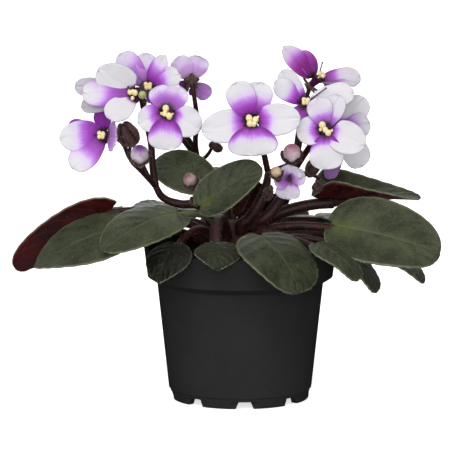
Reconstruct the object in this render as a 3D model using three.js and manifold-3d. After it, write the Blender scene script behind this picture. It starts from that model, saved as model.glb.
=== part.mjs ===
// A potted African violet in a black nursery pot.
// Millimetres, +Z up. The origin is on the pot's axis, at the level the pot stands on.
// The front of the plant faces -Y, and +X is to the right of someone who looks at the front.

import * as THREE from "three";
import { mergeVertices } from "three/addons/utils/BufferGeometryUtils.js";
import Module from "manifold-3d";

const wasm = await Module();
wasm.setup();

// Front view: places in it are given as right, rise and ahead, seen from a little above the pot.
const VIEW_TILT = THREE.MathUtils.degToRad(9.4);

// Pot
const POT_SEGMENTS = 36;
const POT_HEIGHT = 84;
const RIM_TOP_RADIUS = 52.5;
const RIM_FOOT_RADIUS = 50.5;
const RIM_FOOT_HEIGHT = 67.3;
const WALL_TOP_RADIUS = 45.3;
const WALL_TOP_HEIGHT = 64;
const WALL_FOOT_RADIUS = 38.95;
const LEDGE_HEIGHT = 6;
const FOOT_RADIUS = 38.1;
const FOOT_BOTTOM_RADIUS = 37.1;
const FOOT_CHAMFER = 1;
const FOOT_RING_INNER_RADIUS = 33.2;
const WALL = 1.3;
const FLOOR_UNDERSIDE = 4.6;
const FLOOR_TOP = 6;
const HUB_RADIUS = 12;

// Drainage notches in the foot ring
const NOTCHES = 8;
const NOTCH_TURN = THREE.MathUtils.degToRad(3.7);
const NOTCH_WIDTH = 16.4;
const NOTCH_HEIGHT = 4.1;
const NOTCH_CORNER = 1.6;
const NOTCH_RECESS = 1.7;
const SPOUT_TOP_WIDTH = 7;
const SPOUT_FOOT_WIDTH = 12;
const SPOUT_HEIGHT = 3.7;

// Joins drop edges shorter than this, and loose scraps up to this volume
const SLIVER = 0.2;
const SCRAP = 0.5;

// Soil and crown
const GAP = 0.3;
const SOIL_SEGMENTS = 20;
const SOIL_TOP = 75;
const SOIL_EDGE_TOP = 73.4;
const CROWN = new THREE.Vector3(-3, 0, 0);
const CROWN_SEGMENTS = 12;
const CROWN_RADIUS = 8;
const CROWN_NECK_RADIUS = 6;
const CROWN_TOP = 97;
const CROWN_FOOT = 60;

// Leaves
const LEAF_THICK = 1;
const LEAF_ROWS = 7;
const BACK_LEAF_ROWS = 5;
const LEAF_CELLS = 2;
const LEAF_OUTLINE = { heel: -0.08, start: 0.35, fullness: 0.8, skew: 0.12 };
const POINTED_LEAF_OUTLINE = { heel: -0.08, start: 0.45, fullness: 1.35, skew: 0.3 };
// The share of a blade's length over which a fold at its base dies away to about a third.
const FOLD_REACH = 0.15;
const PETIOLE_SIDES = 5;
const PETIOLE_STEPS = 6;
const PETIOLE_ROOT_RADIUS = 2.3;
const PETIOLE_TIP_RADIUS = 1.7;
const PETIOLE_SINK = 1.3;
const PETIOLE_UNDER_BLADE = 0.14;

// Blooms
const PETAL_THICK = 0.8;
const PETAL_ROWS = 4;
const PETAL_LEVELS = [-0.9, 0, 0.9, 0, 0.9];
const PETAL_CELLS = 1;
const PETAL_OUTLINE = { heel: 0, start: 0.45, fullness: 0.8, skew: -0.25 };
const WIDE_PETAL_OUTLINE = { heel: 0, start: 0.85, fullness: 0.9, skew: 0.08 };
const CLAW_RADIUS = 2.2;
const TUBE_LENGTH = 4;
const TUBE_SIDES = 6;
const TUBE_LIP = 1.3;
const TUBE_RADIUS = 1.9;
const THROAT_RADIUS = 3.2;
const ANTHER = new THREE.Vector3(1.7, 1.2, 1.7);
const ANTHER_SPREAD = 1.1;
const ANTHER_LIFT = 0.8;
const STYLE_RADIUS = 0.4;
const SEPALS = 5;
const SEPAL_LENGTH = 6.5;
const BUD_SEPAL_SPREAD = 1.5;
const CALYX_WAIST = 2.2;
const CALYX_FRONT = 1;
const CALYX_DEPTH = 2.4;
const PEDICEL_SIDES = 4;
const PEDICEL_RADIUS = 0.9;
const PEDICEL_TAPER = 1.3;
const HUSK_SEAT = 0.5;
const PEDUNCLE_STEPS = 8;
const PEDUNCLE_END_RADIUS = 1.7;

const COLOURS = {
  pot: 0x1b1b1c,
  soil: 0x2a1d14,
  crown: 0x4a3526,
  leaf: 0x46523a,
  stalk: 0x43211d,
  petal: 0xd9c6ec,
  anther: 0xf3dc9a,
  bud: 0xb795b4,
};

function material(colour, roughness) {
  return new THREE.MeshStandardMaterial({ color: colour, roughness, metalness: 0, side: THREE.DoubleSide });
}

function seen(right, rise, ahead) {
  return new THREE.Vector3(right, -ahead, (rise + ahead * Math.sin(VIEW_TILT)) / Math.cos(VIEW_TILT));
}

// The way that a bloom faces: yaw in degrees from the viewer to the right, pitch in degrees up.
function facing(yaw, pitch) {
  const turn = THREE.MathUtils.degToRad(yaw);
  const lift = THREE.MathUtils.degToRad(pitch);
  return new THREE.Vector3(
    Math.sin(turn) * Math.cos(lift),
    -Math.cos(turn) * Math.cos(lift),
    Math.sin(lift),
  );
}

function solidFrom(points, triangles) {
  const vertProperties = new Float32Array(points.flatMap((p) => [p.x, p.y, p.z]));
  const triVerts = new Uint32Array(triangles.flat());
  return new wasm.Manifold(new wasm.Mesh({ numProp: 3, vertProperties, triVerts }));
}

function solidOf(geometry) {
  const bare = geometry.clone();
  bare.deleteAttribute("normal");
  bare.deleteAttribute("uv");
  const merged = mergeVertices(bare, 1e-4);
  return new wasm.Manifold(
    new wasm.Mesh({
      numProp: 3,
      vertProperties: merged.attributes.position.array,
      triVerts: new Uint32Array(merged.index.array),
    }),
  );
}

// Solids that overlap, joined in one body: what the join seals in is filled, and loose scraps are dropped.
function fused(name, solids) {
  const whole = solids.reduce((sum, piece) => sum.add(piece)).simplify(SLIVER);
  const [body, ...scraps] = whole.decompose().sort((a, b) => b.volume() - a.volume());
  if (scraps.some((scrap) => scrap.volume() > SCRAP)) {
    throw new Error(`${name} has a piece that stands clear of the rest`);
  }
  return body;
}

function meshOf(name, solid, colour, roughness) {
  const { vertProperties, triVerts } = solid.getMesh();
  const geometry = new THREE.BufferGeometry();
  geometry.setAttribute("position", new THREE.BufferAttribute(vertProperties, 3));
  geometry.setIndex(new THREE.BufferAttribute(triVerts, 1));
  geometry.computeVertexNormals();
  const mesh = new THREE.Mesh(geometry, material(colour, roughness));
  mesh.name = name;
  return mesh;
}

// A solid turned about Z from a closed profile of [radius, height] pairs.
function turned(profile, segments) {
  const points = profile.map(([radius, height]) => new THREE.Vector2(radius, height));
  return solidOf(new THREE.LatheGeometry(points, segments).rotateX(Math.PI / 2));
}

// A round tube along a curve, with its radius given by a function of the share of its length.
function tubeSolid(curve, steps, sides, radiusAt) {
  const frames = curve.computeFrenetFrames(steps);
  const points = [];
  for (let i = 0; i <= steps; i += 1) {
    const centre = curve.getPointAt(i / steps);
    for (let k = 0; k < sides; k += 1) {
      const turn = (2 * Math.PI * k) / sides;
      const spoke = frames.normals[i].clone().multiplyScalar(Math.cos(turn));
      spoke.addScaledVector(frames.binormals[i], Math.sin(turn));
      points.push(centre.clone().addScaledVector(spoke, radiusAt(i / steps)));
    }
  }
  const triangles = [];
  for (let k = 0; k < sides; k += 1) {
    const next = (k + 1) % sides;
    for (let i = 0; i < steps; i += 1) {
      const low = i * sides;
      const high = low + sides;
      triangles.push([low + k, low + next, high + next], [low + k, high + next, high + k]);
    }
    if (k > 0 && k < sides - 1) {
      const last = steps * sides;
      triangles.push([0, next, k], [last, last + k, last + next]);
    }
  }
  return solidFrom(points, triangles);
}

function lineTo(from, to) {
  return new THREE.LineCurve3(from, to);
}

function egg(centre, along, radii, turns, rings) {
  const geometry = new THREE.SphereGeometry(1, turns, rings);
  geometry.scale(radii.x, radii.y, radii.z);
  const axis = new THREE.Vector3(0, 1, 0);
  geometry.applyQuaternion(new THREE.Quaternion().setFromUnitVectors(axis, along.clone().normalize()));
  geometry.translate(centre.x, centre.y, centre.z);
  return solidOf(geometry);
}

// A blade's own axes: along its midrib, to its left, and out of its upper side.
function bladeFrame(base, tip, up, roll) {
  const along = tip.clone().sub(base);
  const length = along.length();
  along.normalize();
  const left = up.clone().cross(along).normalize();
  left.applyAxisAngle(along, THREE.MathUtils.degToRad(roll));
  const out = along.clone().cross(left);
  return { base, length, along, left, out };
}

// The margin at the share t of the way from the heel to the tip, as shares of length and half width.
function marginAt(outline, t) {
  const turn = outline.start + (Math.PI - outline.start) * t;
  return {
    x: outline.heel + ((1 - outline.heel) * (1 - Math.cos(turn))) / 2,
    y: Math.sin(turn) ** outline.fullness * (1 + outline.skew * Math.cos(turn)),
  };
}

// A point of the blade: t runs from heel to tip, and v from -1 at the right margin to 1 at the left.
function bladePoint(blade, t, v) {
  const { frame, outline, width, bow, cup, wave, twist, fold } = blade;
  const margin = marginAt(outline, t);
  const x = t + (margin.x - t) * Math.abs(v);
  const y = (margin.y * v * width) / 2;
  const side = v < 0 ? 2 : 0;
  const ripple = wave * v * v * Math.sin(3 * Math.PI * t + side);
  const lift = cup + fold * Math.exp(-Math.max(x, 0) / FOLD_REACH);
  const z = 4 * bow * frame.length * x * (1 - x) + (2 * lift * y * y) / width + ripple;
  const turn = twist * x;
  return frame.base
    .clone()
    .addScaledVector(frame.along, x * frame.length)
    .addScaledVector(frame.left, y * Math.cos(turn) - z * Math.sin(turn))
    .addScaledVector(frame.out, y * Math.sin(turn) + z * Math.cos(turn));
}

// A thin closed blade: rows of cells from heel to tip, with two faces that stand `thick` apart.
function bladeSolid(blade, rows, cells, thick) {
  const across = 2 * cells;
  const middle = [];
  for (let i = 0; i < rows; i += 1) {
    for (let k = 0; k <= across; k += 1) {
      middle.push(bladePoint(blade, i / rows, k / cells - 1));
    }
  }
  const tip = middle.length;
  middle.push(bladePoint(blade, 1, 0));
  const at = (i, k) => (i === rows ? tip : i * (across + 1) + k);
  const faces = [];
  for (let i = 0; i < rows; i += 1) {
    for (let k = 0; k < across; k += 1) {
      faces.push([at(i, k), at(i + 1, k), at(i, k + 1)]);
      if (i < rows - 1) {
        faces.push([at(i + 1, k), at(i + 1, k + 1), at(i, k + 1)]);
      }
    }
  }
  const normals = middle.map(() => new THREE.Vector3());
  for (const [a, b, c] of faces) {
    const ab = middle[b].clone().sub(middle[a]);
    const ac = middle[c].clone().sub(middle[a]);
    const normal = ab.cross(ac);
    for (const corner of [a, b, c]) {
      normals[corner].add(normal);
    }
  }
  const half = thick / 2;
  const upper = middle.map((p, i) => p.clone().addScaledVector(normals[i].normalize(), half));
  const lower = middle.map((p, i) => p.clone().addScaledVector(normals[i], -half));
  const count = middle.length;
  const edges = new Set(faces.flatMap(([a, b, c]) => [`${a}_${b}`, `${b}_${c}`, `${c}_${a}`]));
  const triangles = [...faces];
  for (const [a, b, c] of faces) {
    triangles.push([a + count, c + count, b + count]);
  }
  for (const edge of edges) {
    const [p, q] = edge.split("_").map(Number);
    if (!edges.has(`${q}_${p}`)) {
      triangles.push([q, p, p + count], [q, p + count, q + count]);
    }
  }
  return solidFrom([...upper, ...lower], triangles);
}

function potSolid() {
  const innerWallTop = WALL_TOP_HEIGHT + 0.8;
  const shell = turned(
    [
      [0, 0],
      [HUB_RADIUS, 0],
      [HUB_RADIUS, FLOOR_UNDERSIDE],
      [FOOT_RING_INNER_RADIUS, FLOOR_UNDERSIDE],
      [FOOT_RING_INNER_RADIUS, 0],
      [FOOT_BOTTOM_RADIUS, 0],
      [FOOT_RADIUS - 0.4, FOOT_CHAMFER],
      [FOOT_RADIUS, LEDGE_HEIGHT - 0.3],
      [WALL_FOOT_RADIUS, LEDGE_HEIGHT],
      [WALL_TOP_RADIUS, WALL_TOP_HEIGHT],
      [RIM_FOOT_RADIUS, RIM_FOOT_HEIGHT],
      [RIM_TOP_RADIUS, POT_HEIGHT],
      [RIM_TOP_RADIUS - WALL, POT_HEIGHT],
      [RIM_FOOT_RADIUS - WALL, RIM_FOOT_HEIGHT + 0.8],
      [WALL_TOP_RADIUS - WALL, innerWallTop],
      [WALL_FOOT_RADIUS - WALL, FLOOR_TOP],
      [0, FLOOR_TOP],
    ],
    POT_SEGMENTS,
  );
  const recess = new THREE.Shape();
  const half = NOTCH_WIDTH / 2;
  recess.moveTo(-half, -1);
  recess.lineTo(half, -1);
  recess.lineTo(half, NOTCH_HEIGHT - NOTCH_CORNER);
  recess.quadraticCurveTo(half, NOTCH_HEIGHT, half - NOTCH_CORNER, NOTCH_HEIGHT);
  recess.lineTo(-half + NOTCH_CORNER, NOTCH_HEIGHT);
  recess.quadraticCurveTo(-half, NOTCH_HEIGHT, -half, NOTCH_HEIGHT - NOTCH_CORNER);
  const spout = new THREE.Shape();
  spout.moveTo(-SPOUT_FOOT_WIDTH / 2, -1);
  spout.lineTo(SPOUT_FOOT_WIDTH / 2, -1);
  spout.lineTo(SPOUT_TOP_WIDTH / 2, SPOUT_HEIGHT);
  spout.lineTo(-SPOUT_TOP_WIDTH / 2, SPOUT_HEIGHT);
  const reach = 10;
  const cuts = [];
  for (let i = 0; i < NOTCHES; i += 1) {
    const turn = NOTCH_TURN + (2 * Math.PI * i) / NOTCHES;
    const outer = new THREE.ExtrudeGeometry(recess, { depth: reach, bevelEnabled: false, curveSegments: 3 });
    outer.translate(0, 0, FOOT_RADIUS - NOTCH_RECESS);
    const inner = new THREE.ExtrudeGeometry(spout, { depth: reach, bevelEnabled: false });
    inner.translate(0, 0, FOOT_RING_INNER_RADIUS - reach / 2);
    for (const cut of [outer, inner]) {
      cuts.push(solidOf(cut.rotateX(Math.PI / 2).rotateZ(turn)));
    }
  }
  return cuts.reduce((rest, cut) => rest.subtract(cut), shell);
}

function soilSolid() {
  const clear = WALL + 2.2 * GAP;
  const hole = CROWN_NECK_RADIUS + GAP + 0.4;
  const ball = turned(
    [
      [0, FLOOR_TOP + GAP],
      [WALL_FOOT_RADIUS - clear, FLOOR_TOP + GAP],
      [WALL_TOP_RADIUS - clear, WALL_TOP_HEIGHT + 0.6],
      [RIM_FOOT_RADIUS - clear, RIM_FOOT_HEIGHT + 1.6],
      [RIM_FOOT_RADIUS - clear + 0.4, SOIL_EDGE_TOP],
      [36, SOIL_TOP + 0.6],
      [22, SOIL_TOP - 0.4],
      [0, SOIL_TOP],
    ],
    SOIL_SEGMENTS,
  );
  const well = turned(
    [
      [0, CROWN_FOOT - GAP],
      [hole, CROWN_FOOT - GAP],
      [hole, SOIL_TOP + 5],
      [0, SOIL_TOP + 5],
    ],
    CROWN_SEGMENTS,
  );
  return ball.subtract(well.translate([CROWN.x, CROWN.y, 0]));
}

function crownSolid() {
  const stem = turned(
    [
      [0, CROWN_FOOT],
      [CROWN_NECK_RADIUS, CROWN_FOOT],
      [CROWN_NECK_RADIUS, SOIL_TOP + 1],
      [CROWN_RADIUS, SOIL_TOP + 4],
      [CROWN_RADIUS, CROWN_TOP - 2],
      [CROWN_RADIUS - 1.6, CROWN_TOP],
      [0, CROWN_TOP],
    ],
    CROWN_SEGMENTS,
  );
  return stem.translate([CROWN.x, CROWN.y, 0]);
}

// Each leaf: root is [degrees about the crown from +X, height, degrees that the stalk sets out upwards], base
// and tip are the blade's ends in the front view, roll lifts the left margin as seen from the stalk, twist
// adds to it towards the tip in radians, bow arches the midrib, cup lifts both margins, fold lifts them more
// at the base, arch is how far the stalk keeps to its first heading, stalk and neck are its radius at the
// crown and under the blade, rows is how many cells the blade has from heel to tip, and pointed gives the
// blade a sharp tip.
const LEAVES = [
  {
    name: "leaf_left_back", root: [186, 87, 35], base: [-69.7, 102.8, 5], tip: [-122.7, 69.8, -5],
    width: 31, roll: 42, bow: 0.05, cup: 0.1,
  },
  {
    name: "leaf_left_front", root: [202, 81, 40], base: [-57.2, 93.7, 20], tip: [-111, 70.5, 28],
    width: 39, roll: -27, bow: 0.08, cup: -0.1, pointed: true,
  },
  {
    name: "leaf_front_left", root: [200, 95, 60], base: [-34.4, 100, 20], tip: [-72.5, 79.4, 50],
    width: 32, roll: -20, bow: 0.1, cup: -0.1,
  },
  {
    name: "leaf_centre", root: [225, 95, 55], base: [-21, 104, 26], tip: [10.8, 125, 27],
    width: 24, roll: 58, bow: 0.04, cup: 0.15,
  },
  {
    name: "leaf_rim_left", root: [220, 85, 45], base: [-35, 83, 39], tip: [-43.5, 62.3, 51],
    width: 27, roll: 0, bow: 0.1, cup: -0.1, arch: 0.5, pointed: true,
  },
  {
    name: "leaf_rim_middle", root: [248, 90, 68], base: [-12.8, 83.5, 47], tip: [-11.2, 69.5, 59],
    width: 24, roll: 0, bow: 0.1, cup: -0.1, arch: 0.6, stalk: 3, neck: 2.6, pointed: true,
  },
  {
    name: "leaf_front", root: [283, 84, 30], base: [11, 87.5, 42], tip: [31.4, 57.6, 70],
    width: 43, roll: 0, bow: 0.1, cup: -0.1,
  },
  {
    name: "leaf_front_right", root: [310, 86, 40], base: [41.6, 82.8, 41], tip: [63, 64.1, 55],
    width: 24, roll: 0, bow: 0.1, cup: -0.1,
  },
  {
    name: "leaf_right", root: [335, 88, 35], base: [51, 93, 18], tip: [107.6, 78, 27],
    width: 43, roll: 45, bow: 0.06, cup: 0.12, stalk: 2.8, neck: 2.2,
  },
  {
    name: "leaf_right_under", root: [340, 81, 35], base: [52, 83.5, 20], tip: [74, 57.6, 26],
    width: 24, roll: 10, bow: 0.1, cup: -0.1,
  },
  {
    name: "leaf_right_low", root: [12, 81, 35], base: [58, 88, -8], tip: [101, 63, -12],
    width: 24, roll: 20, bow: 0.1, cup: -0.1,
  },
  {
    name: "leaf_right_upper", root: [4, 93, 35], base: [43, 108.5, -2], tip: [98.4, 108.8, -12],
    width: 36, roll: 2, bow: 0, cup: 0.42, twist: 0.15, fold: 1.2, stalk: 3.4, neck: 3, pointed: true,
  },
  {
    name: "leaf_upper_left", root: [144, 94, 45], base: [-18, 115.3, -17], tip: [-46.9, 128.9, -35],
    width: 26, roll: -40, bow: 0.06, cup: 0.1,
  },
  {
    name: "leaf_upper_back", root: [94, 94, 50], base: [-8, 108, -22], tip: [-9.5, 125, -62],
    width: 26, roll: 0, bow: 0.06, cup: 0.1,
  },
  {
    name: "leaf_left_upper", root: [170, 80, 60], base: [-38, 101.5, -10], tip: [-62, 101.5, -14],
    width: 22, roll: 0, bow: 0.1, cup: 0.1,
  },
  {
    name: "leaf_young_left", root: [74, 95, 72], base: [0, 99, -7.6], tip: [10, 117, -6],
    width: 15, roll: -68, bow: 0.05, cup: 0.1, stalk: 1.5, neck: 1.2, rows: BACK_LEAF_ROWS,
  },
  {
    name: "leaf_young_right", root: [46, 95, 62], base: [12, 97.5, -11], tip: [26, 110, -9],
    width: 12, roll: -68, bow: 0.05, cup: 0.1, stalk: 1.5, neck: 1.2, rows: BACK_LEAF_ROWS,
  },
  {
    name: "leaf_back_1", root: [24, 87, 50], base: [47, 98, -20], tip: [90, 86, -42],
    width: 32, roll: 0, bow: 0.1, cup: -0.1, rows: BACK_LEAF_ROWS,
  },
  {
    name: "leaf_back_2", root: [46, 81, 55], base: [32, 97, -35], tip: [64, 84, -72],
    width: 32, roll: 0, bow: 0.12, cup: -0.1, rows: BACK_LEAF_ROWS,
  },
  {
    name: "leaf_back_3", root: [64, 88, 55], base: [13, 102, -42], tip: [30, 92, -90],
    width: 32, roll: 0, bow: 0.12, cup: -0.1, rows: BACK_LEAF_ROWS,
  },
  {
    name: "leaf_back_4", root: [88, 81, 55], base: [-4, 97, -44], tip: [-8, 86, -95],
    width: 32, roll: 0, bow: 0.12, cup: -0.1, rows: BACK_LEAF_ROWS,
  },
  {
    name: "leaf_back_5", root: [112, 87, 55], base: [-20, 102, -40], tip: [-40, 91, -84],
    width: 32, roll: 0, bow: 0.12, cup: -0.1, rows: BACK_LEAF_ROWS,
  },
  {
    name: "leaf_back_6", root: [135, 81, 55], base: [-38, 97, -32], tip: [-72, 84, -64],
    width: 32, roll: 0, bow: 0.12, cup: -0.1, rows: BACK_LEAF_ROWS,
  },
  {
    name: "leaf_back_7", root: [154, 87, 50], base: [-48, 98, -22], tip: [-92, 84, -34],
    width: 30, roll: 0, bow: 0.1, cup: -0.1, rows: BACK_LEAF_ROWS,
  },
];

function leafBlade(leaf) {
  const base = seen(...leaf.base);
  const tip = seen(...leaf.tip);
  const frame = bladeFrame(base, tip, new THREE.Vector3(0, 0, 1), leaf.roll);
  const { width, bow, cup, wave = 0.7, twist = 0, fold = 0 } = leaf;
  const outline = leaf.pointed ? POINTED_LEAF_OUTLINE : LEAF_OUTLINE;
  return { frame, outline, width, bow, cup, wave, twist, fold };
}

// Where a stalk of the given radius leaves the crown's side, and the way that it sets out.
function crownSeat([turn, height, lift], radius) {
  const bearing = THREE.MathUtils.degToRad(turn);
  const rise = THREE.MathUtils.degToRad(lift);
  const spoke = new THREE.Vector3(Math.cos(bearing), Math.sin(bearing), 0);
  const root = CROWN.clone().setZ(height);
  root.addScaledVector(spoke, CROWN_RADIUS + GAP + radius * Math.sin(rise));
  return { root, heading: spoke.multiplyScalar(Math.cos(rise)).setZ(Math.sin(rise)) };
}

function leafSolid(leaf) {
  const blade = leafBlade(leaf);
  const { frame } = blade;
  const { arch = 0.36, stalk = PETIOLE_ROOT_RADIUS, neck = PETIOLE_TIP_RADIUS, rows = LEAF_ROWS } = leaf;
  const { root, heading } = crownSeat(leaf.root, stalk);
  const run = frame.along.clone().addScaledVector(frame.out, 4 * leaf.bow).normalize();
  const end = bladePoint(blade, PETIOLE_UNDER_BLADE, 0).addScaledVector(frame.out, -PETIOLE_SINK);
  const handle = root.distanceTo(end) * arch;
  const curve = new THREE.CubicBezierCurve3(
    root,
    root.clone().addScaledVector(heading, handle),
    end.clone().addScaledVector(run, -handle),
    end,
  );
  const taper = (share) => THREE.MathUtils.lerp(stalk, neck, share);
  return fused(leaf.name, [
    bladeSolid(blade, rows, LEAF_CELLS, LEAF_THICK),
    tubeSolid(curve, PETIOLE_STEPS, PETIOLE_SIDES, taper),
  ]);
}

// Each bloom: at is its throat in the front view, face is [yaw, pitch], style is the offset of its stigma
// from the throat, and lift is how far its anthers stand out of the throat. Each petal is the offset of its
// tip from the throat as right, rise and ahead, then its width and, where it turns on its midrib, its roll.
// The petals that wide counts, from 0, are as broad near the throat as farther out.
const BLOOMS = [
  {
    name: "left_front", at: [-56, 164, 12], face: [-25, 10], style: [-4.5, 4, 4], lift: 1.1,
    petals: [
      [-21, 13.5, 3, 20], [-29.4, 0.8, 2, 14], [-33, 5, -10, 11],
      [-15, -13, 9, 14], [-29.6, -6.7, -8, 10],
    ],
    wide: [0],
  },
  {
    name: "left_top", at: [-50.5, 167.5, -6], face: [5, 25], style: [3, 3, 4], lift: 2.6,
    petals: [
      [-14.5, 19.5, -6, 13], [-0.8, 19.5, -9, 11], [9.5, 18, -2, 9.5],
      [17.5, 8, 4, 12.5], [6, -7, 5, 10],
    ],
  },
  {
    name: "left_middle", at: [-39.4, 154.1, 22], face: [0, 8], style: [4, -2, 5], lift: 1.1,
    petals: [
      [-5.5, 14, 0, 12], [7.6, 13.5, 0, 12.5], [18, -9, 1, 17],
      [-1.5, -20, 1, 18], [-15.5, -6, 1, 15],
    ],
    wide: [2, 4],
  },
  {
    name: "left_low", at: [-73, 142, 8], face: [-25, 10], style: [-6, 0, 4], lift: 2.8,
    petals: [
      [-25, -1.5, 3, 18], [-17.3, -18.1, 8, 15], [-1.5, 14, -1, 10],
      [-20, 6, -8, 9], [6.5, -1, 9, 16],
    ],
    wide: [0],
  },
  {
    name: "left_behind", at: [-26.4, 171.5, -16], face: [180, -10], style: [0, 2, -5],
    petals: [
      [-8.2, 13, 0, 11.5], [4.6, 13.8, 0, 12], [9.5, -8, 0, 9],
      [-6, -3.5, 0, 7], [3, -6.5, -1, 8],
    ],
  },
  {
    name: "middle_front", at: [6.1, 149.2, 32], face: [0, 9], style: [3, -3, 5],
    petals: [
      [-8.8, 20.3, 0, 15.5], [5.2, 20.4, 0, 15], [26, 1.6, 1, 17.5],
      [1, -18.6, 1, 26], [-26.7, -5.3, 1, 18],
    ],
    wide: [2, 4],
  },
  {
    name: "right_front", at: [45.7, 144.9, 26], face: [0, 9], style: [5, 2, 4],
    petals: [
      [-4.6, 16.8, 0, 13.5], [7.2, 18.2, 0, 11.5], [21.4, -8.5, 1, 18],
      [1, -21.4, 1, 18], [-15.6, -1.3, 1, 15.5],
    ],
    wide: [2, 4],
  },
  {
    name: "right_top", at: [41.5, 172.5, -6], face: [70, 45], style: [3, 9, 2], lift: 1.6,
    petals: [
      [-17.6, 18.2, 0, 12, -50], [-7.7, 15.7, -3, 10, -50], [23.1, 1, -6, 12, 20],
      [21.5, -3, 4, 9], [6, -7, -11, 9],
    ],
  },
  {
    name: "right_middle", at: [35.8, 159.4, 6], face: [-10, 30], style: [10.5, 8, 2], lift: 0.3,
    petals: [
      [-17.5, 11.2, 3, 11], [-13.6, 17.5, -3, 10], [25.5, 5.5, 0, 14],
      [10, -10, 2, 12], [-6, -9, 3, 9],
    ],
  },
  {
    name: "right_back", at: [55, 145, -8], face: [20, 10], style: [4, 2, 3], lift: 1.6,
    petals: [
      [12.3, 18, 0, 14], [15, 4.5, 2, 13], [11.3, -19.5, 2, 15],
      [-6.7, -26.5, -4, 9], [-4, 10, -3, 9],
    ],
  },
  {
    name: "right_low", at: [26.5, 118.5, 16], face: [0, 10], style: [0.5, 2, 2],
    petals: [
      [-3.5, 6.5, 1, 9], [4.5, 5.5, 2, 9], [8.4, 1.4, 0, 9],
      [-1.2, -11, 1, 13], [-7.6, -3, 2, 8],
    ],
  },
];

// Blooms that show their pollen.
const OPEN_BLOOMS = BLOOMS.filter((bloom) => bloom.name !== "right_low");

function bloomPlace(bloom) {
  const centre = seen(...bloom.at);
  const face = facing(...bloom.face);
  return { centre, face };
}

function bloomPoint(bloom, offset) {
  const [right, rise, ahead] = bloom.at;
  return seen(right + offset[0], rise + offset[1], ahead + offset[2]);
}

function corollaSolid(bloom) {
  const { centre, face } = bloomPlace(bloom);
  const { wide = [] } = bloom;
  const solids = bloom.petals.map(([right, rise, ahead, width, roll = 0], i) => {
    const tip = bloomPoint(bloom, [right, rise, ahead]).addScaledVector(face, PETAL_LEVELS[i]);
    const spoke = tip.clone().sub(centre).projectOnPlane(face).normalize();
    const heart = centre.clone().addScaledVector(face, PETAL_LEVELS[i]);
    const base = heart.addScaledVector(spoke, CLAW_RADIUS);
    const frame = bladeFrame(base, tip, face, roll);
    const outline = wide.includes(i) ? WIDE_PETAL_OUTLINE : PETAL_OUTLINE;
    const blade = { frame, outline, width, bow: 0.04, cup: 0.06, wave: 0.3, twist: 0, fold: 0 };
    return bladeSolid(blade, PETAL_ROWS, PETAL_CELLS, PETAL_THICK);
  });
  const back = centre.clone().addScaledVector(face, -TUBE_LENGTH);
  const lip = centre.clone().addScaledVector(face, TUBE_LIP);
  const flare = (share) => THREE.MathUtils.lerp(TUBE_RADIUS, THROAT_RADIUS, share);
  solids.push(tubeSolid(lineTo(back, lip), 1, TUBE_SIDES, flare));
  const stigma = bloomPoint(bloom, bloom.style);
  const foot = centre.clone().addScaledVector(stigma.clone().sub(centre).normalize(), 0.5);
  solids.push(tubeSolid(lineTo(foot, stigma), 1, 4, () => STYLE_RADIUS));
  return fused(bloom.name, solids);
}

function antherSolid(bloom) {
  const { centre, face } = bloomPlace(bloom);
  const side = new THREE.Vector3(0, 0, 1).cross(face).normalize();
  const { lift = ANTHER_LIFT } = bloom;
  const middle = centre.clone().addScaledVector(face, TUBE_LIP + lift + ANTHER.y);
  const pair = [-1, 1].map((way) => {
    const place = middle.clone().addScaledVector(side, way * ANTHER_SPREAD);
    return egg(place, face, ANTHER, 6, 3);
  });
  return fused(bloom.name, pair);
}

// The calyx behind a bloom or a bud that faces `face` and whose back is `depth` behind centre: a star of
// pointed sepals round a cone that the pedicel ends in.
function calyxSolid(centre, face, depth, sepal) {
  const seat = centre.clone().addScaledVector(face, -(depth + GAP + CALYX_FRONT));
  const side = new THREE.Vector3(0, 0, 1).cross(face).normalize();
  const ring = [];
  for (let i = 0; i < 2 * SEPALS; i += 1) {
    const spoke = side.clone().applyAxisAngle(face, (Math.PI * (i + 0.5)) / SEPALS);
    const reach = i % 2 === 0 ? sepal : CALYX_WAIST;
    const lean = i % 2 === 0 ? CALYX_FRONT : 0;
    ring.push(seat.clone().addScaledVector(spoke, reach).addScaledVector(face, lean));
  }
  const front = seat.clone().addScaledVector(face, CALYX_FRONT);
  const back = seat.clone().addScaledVector(face, -CALYX_DEPTH);
  const triangles = ring.flatMap((_, i) => {
    const next = (i + 1) % ring.length;
    return [
      [i, next, ring.length],
      [next, i, ring.length + 1],
    ];
  });
  return { seat, solid: solidFrom([...ring, front, back], triangles) };
}

// Closed buds: at is the middle in the front view, face is [yaw, pitch], then radius across and half length.
const BUDS = [
  { name: "left", at: [-54.3, 131.7, 14], face: [0, 50], radius: 5, half: 5.6 },
  { name: "centre", at: [-27.3, 118, 6], face: [-40, 50], radius: 3.6, half: 4 },
  { name: "right", at: [27.9, 132.4, 9], face: [0, 60], radius: 4.8, half: 5.6 },
  { name: "small", at: [19.3, 122, 29], face: [-20, 50], radius: 2.9, half: 3.2 },
];

function budSolid(bud) {
  return egg(seen(...bud.at), facing(...bud.face), new THREE.Vector3(bud.radius, bud.half, bud.radius), 8, 5);
}

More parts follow.
